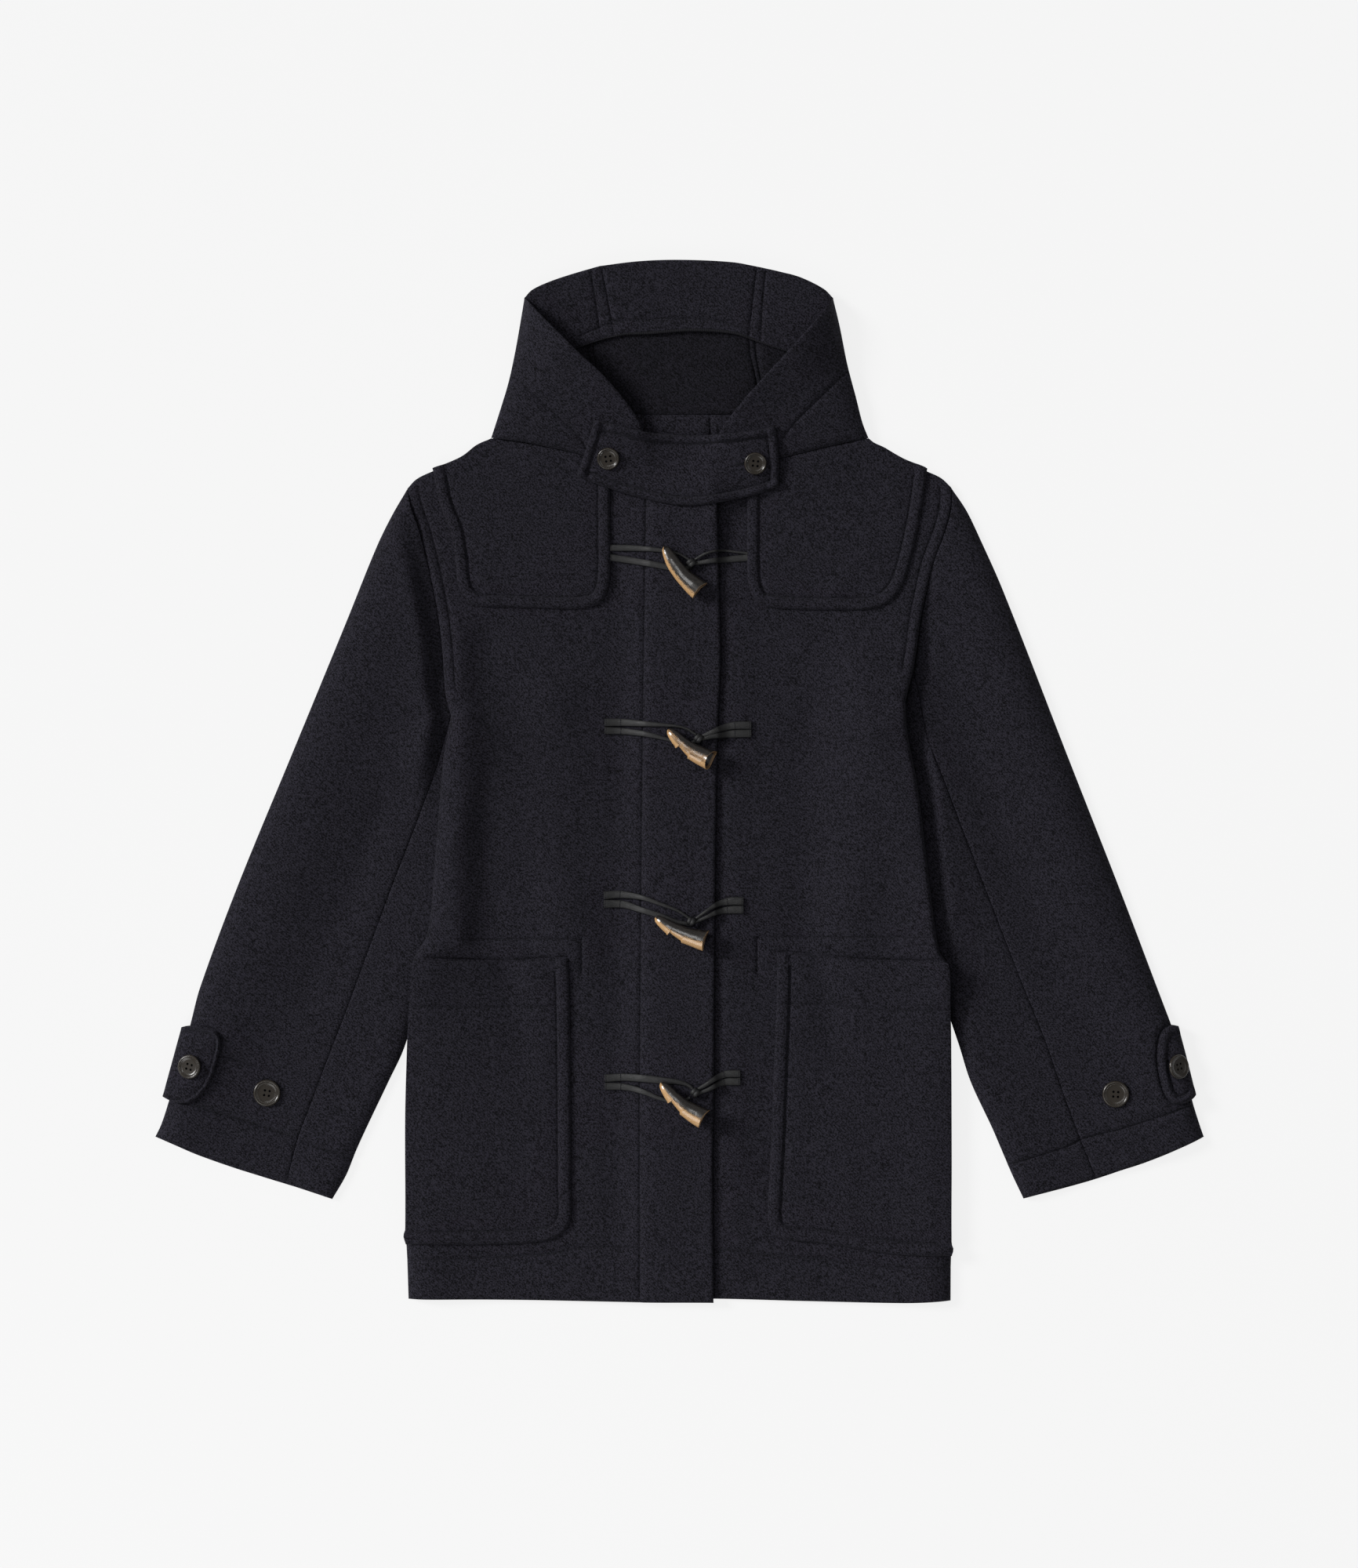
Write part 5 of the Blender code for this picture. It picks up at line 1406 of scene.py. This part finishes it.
class COAT_OT_hood(bpy.types.Operator):
    """The hood: sides, centre panel, turned brim and its tape"""

    bl_idname = "coat.hood"
    bl_label = "Hood"

    SEAM_STITCH = 5.5  # from the centre panel's seam to the stitch line beside it
    TAPE = (1.3, 1.6, 6, 62)  # the tape's width at its ends, how much more in the middle, and where that lies

    def execute(self, context):
        sizes = context.scene.coat_sizes
        cuts = {name: lines_of(name) for name in SIDES}
        lows = {name: self.low_side(name, side, cuts[name], sizes) for name, side in SIDES.items()}
        self.opening(cuts["right"], cuts["left"], sizes)
        for name, side in SIDES.items():
            self.side(name, side, cuts[name], lows[name], sizes)
        return {"FINISHED"}

    def low_side(self, name, side, cut, sizes):
        """The lower layer of a side, whose inner face shows in the opening."""
        beside = [(x + side * self.SEAM_STITCH, y) for x, y in LINES[name]["hood_seam"][:-1]]
        low = Layer([("fold", cut["hood_fold"]), ("hidden", cut["hood_arc"]),
                     ("seam", cut["hood_seam"]), ("seam", cut["back_neck"])], sizes,
                    seed=81 + side, ripple=0.35, grooves=[beside])
        low.settle()
        low.lowest = low.base
        return low.lay()

    def opening(self, right, left, sizes):
        """The centre panel, and over it the turned brim with its tape."""
        centre = Layer([("hidden", smooth(HOOD_TOP)), ("seam", left["hood_seam"]),
                        ("seam", smooth(NECK_SEAM)[::-1]), ("seam", right["hood_seam"][::-1])],
                       sizes, seed=91, folds=FOLDS["hood_centre"], ripple=0.35)
        # The centre panel's inside face takes the darker melton: painted shade.
        made = flat_piece("hood_centre_cloth", centre, finish("melton_painted_shade"))
        declare("hood_centre", [centre])
        ridge = smooth(HOOD_RIDGE)
        left_end, right_end = BAND_ENDS
        band = Layer([("side", smooth(HOOD_TOP)), ("side", left["hood_arc"][::-1]),
                      ("hidden", smooth([left["hood_arc"][0], left_end, ridge[0]])),
                      ("turned", ridge),
                      ("hidden", smooth([ridge[-1], right_end, right["hood_arc"][0]])),
                      ("side", right["hood_arc"])], sizes, seed=101, ripple=0.3,
                     grooves=[BAND_STITCH] + BAND_SEAMS + BAND_SIDE_STITCHES,
                     loft=lambda points: 1.2 * bell(nearest(points, ridge)[0] / 12))
        made = flat_piece("hood_brim_hem_cloth", band, finish("melton_wool"))
        paths = [smooth(path) for path in [BAND_STITCH] + BAND_SIDE_STITCHES]
        thread = sew("hood_brim_hem_stitching", band, paths, sizes)
        outwards = 1 if normals_of(ridge)[40][1] < 0 else -1
        wide, more, middle, reach = self.TAPE
        wide = wide + more * np.exp(-(((ridge[:, 0] - middle) / reach) ** 4))
        upper = ridge - normals_of(ridge) * outwards * wide[:, None]
        tape = Layer([("raw", ridge[1:-1]), ("hidden", np.vstack([ridge[-2], upper[-2]])),
                      ("raw", upper[1:-1][::-1]), ("hidden", np.vstack([upper[1], ridge[1]]))],
                     sizes, seed=103, thick=1.0, ripple=0.0)
        bound = flat_piece("hood_hem_tape_cloth", tape, finish("ribbed_tape"), 3.0)
        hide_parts("hood_hem_tape")
        declare("hood_brim_hem", [band])

    def side(self, name, side, cut, low, sizes):
        """A whole side, folded at its outer edge, with its brim standing up."""
        brim, fold = cut["brim"], cut["hood_fold"]

        def loft(points):
            to_fold, to_brim = nearest(points, fold)[0], nearest(points, brim)[0]
            across = clipped(to_fold / (to_fold + to_brim + 1e-6))
            along = clipped((points[:, 1] - 742) / 160)
            full = rise(nearest(points, cut["neck"])[0], 3.0, 9) * (1 - np.exp(-to_fold / 10))
            return (sizes.brim_lift * np.sin(math.pi * along**1.8) ** 0.8 + 1.5) * across**0.8 + full

        top = Layer([("fold", fold), ("turned", brim), ("turned", cut["neck"])], sizes,
                    seed=111 + side, loft=loft, lowest=low.base, folds=FOLDS["hood_side_" + name],
                    grooves=[LINES[name]["facing_stitch"]], ripple=0.5)
        top.settle().lay()
        # The faces inside the fold take the darker melton: painted shade.
        made = folded_piece(f"hood_side_{name}_cloth", top, low, finish("melton_wool"), lower_spacing=6.0,
                            painted_shade_finish=finish("melton_painted_shade"))
        thread = sew(f"hood_side_{name}_stitching", top, top.grooves, sizes)
        declare("hood_side_" + name, (top, low))


class COAT_OT_tabs(bpy.types.Operator):
    """Neck tab and cuff straps"""

    bl_idname = "coat.tabs"
    bl_label = "Tabs and straps"

    TAB_MARGIN, STRAP_MARGINS = 8.0, {"right": 3.5, "left": 7.5}
    TAB_THICK, STRAP_THICK = 3.4, 3.2  # both are doubled and pressed

    def execute(self, context):
        sizes = context.scene.coat_sizes
        wool = finish("melton_wool")
        chains = [smooth(TAB[key]) for key in ("top", "end", "bottom", "start")]
        tab = Layer([("turned", chain, self.TAB_MARGIN) for chain in chains], sizes, seed=121, ripple=0.15,
                    thick=self.TAB_THICK)
        made = flat_piece("neck_tab_cloth", tab, wool, 4.0)
        paths = [margin_path(tab, number) for number in range(4)]
        thread = sew("neck_tab_stitching", tab, paths, sizes)
        slits = [[(x0, y0 + up), (x1, y1 + up)] for x0, y0, x1, y1 in TAB_SLITS for up in (-0.5, 0.5)]
        ends = np.array([[(x, y, tab.top(np.array([(x, y)]))[0]) for x, y in slit] for slit in slits])
        cuts = stitches("neck_tab_slits", ends, 0.55, 0.1)
        declare("neck_tab", [tab])
        for name, side in SIDES.items():
            cut = lines_of(name)
            fold = cut["strap_fold"]
            low = Layer([("fold", fold), ("hidden", cut["strap"])], sizes, ripple=0.0)
            low.base = np.zeros(ground.top.shape)
            low.lowest = low.base
            top = Layer([("fold", fold), ("turned", cut["strap"], self.STRAP_MARGINS[name])], sizes,
                        seed=131 + side, lowest=low.base, ripple=0.1, thick=self.STRAP_THICK)
            top.settle().lay()
            node = "cuff_strap_" + name
            made = folded_piece(node + "_cloth", top, low, wool, 3.6)
            thread = sew(node + "_stitching", top, [margin_path(top, 1)], sizes)
            declare(node, (top, low))
        return {"FINISHED"}


CLOTH_GIVES = 0.6  # share of a button's clearance that is left once the cloth gives way under it


def on_slope(points, x, y, radius, lean=0.0, lift=0.1):
    """Moves a shape built round the origin to lie on the cloth at x, y, tilted to its slope."""
    around = circle(12) * (radius + 0.5)
    heights = ground.at(ground.top, around + (x, y))
    table = np.c_[around, np.ones(len(around))]
    plane = np.linalg.lstsq(table, heights, rcond=None)[0] - (lean, 0, 0)
    clear = CLOTH_GIVES * max(0.0, (heights - table @ plane).max())
    normal = np.array((-plane[0], -plane[1], 1.0))
    normal /= np.linalg.norm(normal)
    first = np.cross((0, 1, 0), normal)
    first /= np.linalg.norm(first)
    second = np.cross(normal, first)
    placed = points @ np.array([first, second, normal])
    return placed + (x, y, plane[2] + clear + lift)


class COAT_OT_buttons(bpy.types.Operator):
    """Six buttons with a raised rim and four holes, sewn on"""

    bl_idname = "coat.buttons"
    bl_label = "Buttons"

    HIGH, SIDES = 3.2, 48
    HOLE, HOLE_OUT, HOLE_SIDES = 1.1, 3.0, 14  # radius of a hole, its distance from the middle, its corners
    # The section from the dish's border outwards and round to the underside: radius and height in shares.
    SECTION = [(0.56, 0.66), (0.64, 0.68), (0.7, 0.76), (0.745, 0.84), (0.765, 0.79), (0.79, 0.8),
               (0.815, 0.93), (0.86, 1.0), (0.91, 0.99), (0.96, 0.88), (0.99, 0.7), (1.0, 0.5),
               (0.985, 0.26), (0.9, 0.06), (0.75, 0.0)]

    def execute(self, context):
        for name, (x, y, radius, turn, lean) in BUTTONS.items():
            lean = math.tan(math.radians(lean)) * (1 if x > 0 else -1)
            points, faces = self.shape(radius, math.radians(turn))
            placed = on_slope(points, x, y, radius, lean)
            made = add_mesh(name + "_horn", placed, faces, finish("button_horn"), 60)
            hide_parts(name)
            thread = self.thread(name, x, y, radius, math.radians(turn), lean)
        return {"FINISHED"}

    def hole_middles(self, turn):
        """The middles of the four holes, with the button round the origin."""
        turns = [turn + math.tau * (k + 0.5) / 4 for k in range(4)]
        return [np.array((math.cos(at), math.sin(at))) * self.HOLE_OUT for at in turns]

    def shape(self, radius, turn):
        """A button round the origin: its turned section, and a flat dish and underside with holes."""
        sides, small = self.SIDES, self.HOLE_SIDES
        ring = circle(sides) * radius
        points, faces = [], []
        for share, high in self.SECTION:
            points += [(x, y, high * self.HIGH) for x, y in ring * share]
        last = (len(self.SECTION) - 1) * sides
        for first in range(0, last, sides):
            faces += round_faces(first, first + sides, sides, (0, 2, 3, 1))
        holes = [middle + circle(small) * self.HOLE for middle in self.hole_middles(turn)]
        starts = []
        for outer, (share, high) in ((0, self.SECTION[0]), (last, self.SECTION[-1])):
            starts.append(len(points))
            points += [(x, y, high * self.HIGH) for hole in holes for x, y in hole]
            ids = list(range(outer, outer + sides)) + list(range(starts[-1], len(points)))
            loops = [list(range(sides))]
            loops += [list(range(sides + small * k, sides + small * (k + 1))) for k in range(len(holes))]
            edges = [pair for loop in loops for pair in zip(loop, loop[1:] + loop[:1])]
            plan = [Vector(p) for p in np.vstack([ring * share] + holes)]
            found = delaunay_2d_cdt(plan, edges, [], 0, 1e-5)
            flat = np.array([tuple(v) for v in found[0]])
            for face in found[2]:
                corners = flat[list(face)]
                gaps = [np.linalg.norm(corners.mean(0) - hole.mean(0)) for hole in holes]
                if min(gaps) < self.HOLE * 0.97:
                    continue
                turned = face if outer == 0 else face[::-1]
                if turned_area(corners) < 0:
                    turned = turned[::-1]
                faces.append(tuple(ids[found[3][v][0]] for v in turned))
        for k in range(len(holes)):
            faces += round_faces(starts[0] + small * k, starts[1] + small * k, small)
        return np.array(points), faces

    def thread(self, name, x, y, radius, turn, lean):
        """The doubled stitches that pass down through the holes."""
        ends = []
        for middle in self.hole_middles(turn):
            for shift in (-0.25, 0.25):
                rows = np.array([(*(middle + (shift, 0)), self.HIGH * level) for level in (0.02, 0.1)])
                low, high = on_slope(rows, x, y, radius, lean)
                ends.append([low, high + (0.3, 0, 0)])
        return stitches(name + "_thread", np.array(ends), sink=0.0)


# The section of a leather strand: across in shares of its width, up in shares of its thickness.
STRAND = [(0.5, 0.3), (0.47, 0.75), (0.38, 1.0), (0, 1.06), (-0.38, 1.0), (-0.47, 0.75), (-0.5, 0.3),
          (-0.42, 0.0), (0.42, 0.0)]


def ribbon(path, heights, wide, thick):
    """A flat strand with rounded sides along a path."""
    points = [(*(p + n * a * w), z + b * thick)
              for p, n, z, w in zip(path, normals_of(path), heights, wide) for a, b in STRAND]
    size = len(STRAND)
    last = (len(path) - 1) * size
    faces = [tuple(range(size)), tuple(range(last, last + size))[::-1]]
    for first in range(0, last, size):
        faces += round_faces(first, first + size, size, (1, 0, 2, 3))
    return points, faces


def joined(parts):
    """Several sets of points and faces as one."""
    points, faces = [], []
    for some, more in parts:
        first = len(points)
        points += [tuple(p) for p in some]
        faces += [tuple(int(v) + first for v in face) for face in more]
    return np.array(points), faces


def ease_up(heights, rounds=6):
    """Smooths a line of heights without going below any of them."""
    raised = heights.copy()
    for _ in range(rounds):
        padded = np.pad(raised, 2, mode="edge")
        mean = (padded[:-4] + padded[1:-3] + padded[2:-2] + padded[3:-1] + padded[4:]) / 5
        raised = np.maximum(mean, heights)
    return raised


class COAT_OT_toggles(bpy.types.Operator):
    """Four horn toggles with their leather loops and ties"""

    bl_idname = "coat.toggles"
    bl_label = "Toggles"

    THICK = 1.7
    CLEAR = 0.35  # from the cloth up to a strand
    END_STITCHES = (1.5, 14.0)  # how far from a strand's sewn end each row of stitches lies
    STITCH_STEPS, STITCH_LONG = (-2.9, -0.9, 1.1), 1.8
    # Share of the horn's length from the tip, half width.
    SECTION = [(0.0, 0.8), (0.015, 2.1), (0.05, 3.5), (0.12, 4.6), (0.25, 5.7), (0.42, 6.6), (0.55, 7.1),
               (0.7, 7.7), (0.85, 8.4), (0.95, 9.1), (0.99, 9.4), (1.0, 9.2)]
    # Share of the length, depth of the notch.
    NOTCH = [(0.355, -0.5), (0.38, 2.7), (0.6, 1.5), (0.625, -0.2)]
    BOW = 3.6  # how far the horn's middle stands off the line from its tip to its end
    FLAT = 0.8  # its height as a share of its width
    HORN_SIDES = 36
    CUP = ((0.5, 0.88), (5.0, 0.62))  # the hollow of its end: depth, share of the end's size
    RING_SIDES, RING_AROUND = 8, 24
    RINGS = ((-1.6, 3.3), (1.3, 3.6))  # the knot's turns: place along the horn, radius

    def execute(self, context):
        for number, row in enumerate(TOGGLES, 1):
            tops = [top for key in ("loop", "tie") for top in self.strands(number, row, key)]
            self.horn(number, row, np.vstack(tops))
            self.knot(number, row)
        return {"FINISHED"}

    def strands(self, number, row, key):
        """One side's pair of strands. Returns the lines along their tops."""
        node = f"toggle_{key}_{number}"
        sewn = number > 1  # the ends of the first toggle's strands run in under the shoulder patches
        parts, laid = [], []
        lifted = self.THICK + 0.3
        for path in row[key]:
            line = smooth(path, 1.2)
            line, wide = line[:, :2], line[:, 2]
            heights = ground.at(ground.before_patches, line) + self.CLEAR
            if sewn:
                free = np.linalg.norm(line - line[0], axis=1) > 1.5
                heights[free] = ground.over(line[free], 2.6) + self.CLEAR
            if key == "tie":
                near = np.linalg.norm(line - row["knot"], axis=1)
                heights = heights + lifted * ease((26 - near) / 12)
            if laid:
                first, _, first_wide = laid[0]
                away = nearest(line, first)[0]
                heights = heights + lifted * 0.9 * ease(((wide + first_wide[-1]) / 2 + 0.4 - away) / 2.5)
            heights = ease_up(heights)
            parts.append(ribbon(line, heights, wide, self.THICK))
            laid.append((line, heights, wide))
        points, faces = joined(parts)
        made = add_mesh(node + "_leather", points, faces, finish("strap_leather"), 60)
        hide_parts(node)
        if sewn:
            thread = stitches(node + "_stitching", np.array(self.end_stitches(laid)), sink=0.0)
        return [np.c_[line, heights + self.THICK] for line, heights, _ in laid]

    def end_stitches(self, laid):
        """Rows of stitches across each strand near its sewn end."""
        ends = []
        for line, heights, _ in laid:
            walked = np.r_[0, np.cumsum(np.hypot(*np.diff(line, axis=0).T))]
            normal = normals_of(line)
            for place in self.END_STITCHES:
                at = int(np.argmin(np.abs(walked - place)))
                z = heights[at] + self.THICK * 1.05
                for step in self.STITCH_STEPS:
                    a, b = (line[at] + normal[at] * (step + more) for more in (0, self.STITCH_LONG))
                    ends.append([(*a, z), (*b, z)])
        return ends

    def horn(self, number, row, strands):
        """A curved horn that rests on its strands, with a notch and a hollow end."""
        tip, end = np.array(row["tip"], float), np.array(row["end"], float)
        axis = end - tip
        length = np.linalg.norm(axis)
        axis /= length
        bow = np.array((axis[1], -axis[0])) * self.BOW
        bow = -bow if bow[1] > 0 else bow
        bites, depths = np.array(self.NOTCH).T
        shares = np.unique(np.r_[np.linspace(0, 1, 61), [0.005, 0.012, 0.99, 0.995],
                                 bites.repeat(3) + np.tile((-0.006, 0, 0.006), len(bites))])
        bites = np.interp(shares, bites, depths) * row["notch"]
        widths = np.interp(shares, *zip(*self.SECTION))
        centres = tip + axis * shares[:, None] * length + bow * np.sin(math.pi * shares)[:, None]
        flat, sides = self.FLAT, self.HORN_SIDES
        away = np.linalg.norm(strands[:, None, :2] - centres[None], axis=2)
        share = clipped((away - 2.2) / widths)
        drop = widths * flat * (1 - np.sqrt(1 - share**2))
        base = np.where(share < 1, strands[:, 2:] + 0.3 - drop, 0).max()
        # A corner's grain: its place along the horn and across it, and how far up the tan side reaches there.
        points, grain = [], []
        wobble = np.random.default_rng(140 + number).uniform(0, math.tau, 4)
        outer = bow / np.linalg.norm(bow)
        for place, centre, wide, bite in zip(shares, centres, widths, bites):
            slope = axis + bow * math.pi / length * math.cos(math.pi * place)
            slope /= np.linalg.norm(slope)
            across = np.array((-slope[1], slope[0]))
            if across @ outer < 0:
                across = -across
            for t in np.arange(sides) * math.tau / sides:
                facing, up = math.cos(t), math.sin(t)
                reach = wide * (1 + 0.02 * math.sin(place * 11 + wobble[0] + 2 * t)
                                + 0.008 * math.sin(place * 23 + wobble[1] + t))
                if 0.33 < place < 0.65:
                    reach -= bite * max(0.0, facing) ** 1.5
                flare = 2.6 * max(0.0, -facing) ** 2 + 0.9 * max(0.0, facing) ** 2 - row["cut"] * up
                flare *= max(0.0, place - 0.86) / 0.14
                z = base + wide * flat + reach * flat * up * (0.92 if up > 0 else 1.0)
                points.append((*(centre + across * reach * facing + slope * flare), z))
                tan = row["tan"] + (0.9 if place > 0.993 else 0)
                grain.append((place * 5 + number * 3.1, facing * 0.5, tan))
        faces = []
        last = (len(shares) - 1) * sides
        for first in range(0, last, sides):
            faces += round_faces(first, first + sides, sides)
        middle = np.array((*centres[-1], base + widths[-1] * flat))
        # The hollow's rim is tan; deeper in, the inner ring gets the dark horn colour as painted shade.
        for (depth, scale), tan in zip(self.CUP, (row["tan"] + 0.9, -0.5)):
            before = len(points) - sides
            for rim in np.array(points[last : last + sides]):
                points.append(tuple(middle + (rim - middle) * scale - np.array((*axis, 0)) * depth))
                grain.append((5 + number * 3.1, -0.5, tan))
            faces += round_faces(before, before + sides, sides)
        faces.append(tuple(range(len(points) - sides, len(points))))
        faces.append(tuple(range(sides))[::-1])
        made = add_mesh(f"toggle_{number}_horn", np.array(points), faces, finish("polished_horn"), 42, grain)
        turn_outwards(made)
        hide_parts(f"toggle_{number}")

    def knot(self, number, row):
        """The loop of leather that hooks round the horn."""
        knot, tip, end = (np.array(row[key], float) for key in ("knot", "tip", "end"))
        axis = (end - tip) / np.linalg.norm(end - tip)
        middle_z = ground.over(knot[None], 3.0)[0] + 4.0
        sides, around = self.RING_SIDES, self.RING_AROUND
        parts = []
        for shift, size in self.RINGS:
            points, faces = [], []
            middle = np.array((*(knot + axis * shift), middle_z))
            for t in np.linspace(0, math.tau, around + 1)[:-1]:
                out = np.array((-axis[1], axis[0], 0)) * math.cos(t) + np.array((0, 0, 1)) * math.sin(t)
                for a in np.arange(sides) * math.tau / sides:
                    along = np.array((*axis, 0)) * math.cos(a) * 1.9
                    points.append(middle + out * (size + math.sin(a) * 0.8) + along)
            for i in range(around):
                faces += round_faces(i * sides, (i + 1) % around * sides, sides)
            parts.append((points, faces))
        made = add_mesh(f"toggle_knot_{number}_leather", *joined(parts), finish("strap_leather"), 60)
        turn_outwards(made)


def turn_outwards(obj):
    """Turns the faces of a closed shape all outwards."""
    shape = bmesh.new()
    shape.from_mesh(obj.data)
    bmesh.ops.recalc_face_normals(shape, faces=shape.faces)
    shape.to_mesh(obj.data)
    shape.free()


# ---- panel and registration
STEPS = ("stage", "sleeves", "body", "patches", "hood", "tabs", "buttons", "toggles")


class COAT_PT_main(bpy.types.Panel):
    """The coat's steps and settings"""

    bl_idname = "COAT_PT_main"
    bl_label = "Duffle Coat"
    bl_space_type = "VIEW_3D"
    bl_region_type = "UI"
    bl_category = "Coat"

    def draw(self, context):
        for group in (context.scene.coat_sizes, context.scene.coat_colours):
            box = self.layout.box()
            for key in group.__annotations__:
                box.prop(group, key)
        for step in STEPS:
            self.layout.operator("coat." + step)


CLASSES = (CoatSizes, CoatColours, COAT_OT_stage, COAT_OT_sleeves, COAT_OT_body, COAT_OT_patches,
           COAT_OT_hood, COAT_OT_tabs, COAT_OT_buttons, COAT_OT_toggles, COAT_PT_main)


def register():
    for item in CLASSES:
        bpy.utils.register_class(item)
    bpy.types.Scene.coat_sizes = bpy.props.PointerProperty(type=CoatSizes)
    bpy.types.Scene.coat_colours = bpy.props.PointerProperty(type=CoatColours)


def unregister():
    del bpy.types.Scene.coat_colours
    del bpy.types.Scene.coat_sizes
    for item in reversed(CLASSES):
        bpy.utils.unregister_class(item)


def main():
    register()
    for step in STEPS:
        getattr(bpy.ops.coat, step)()


if __name__ == "__main__":
    main()
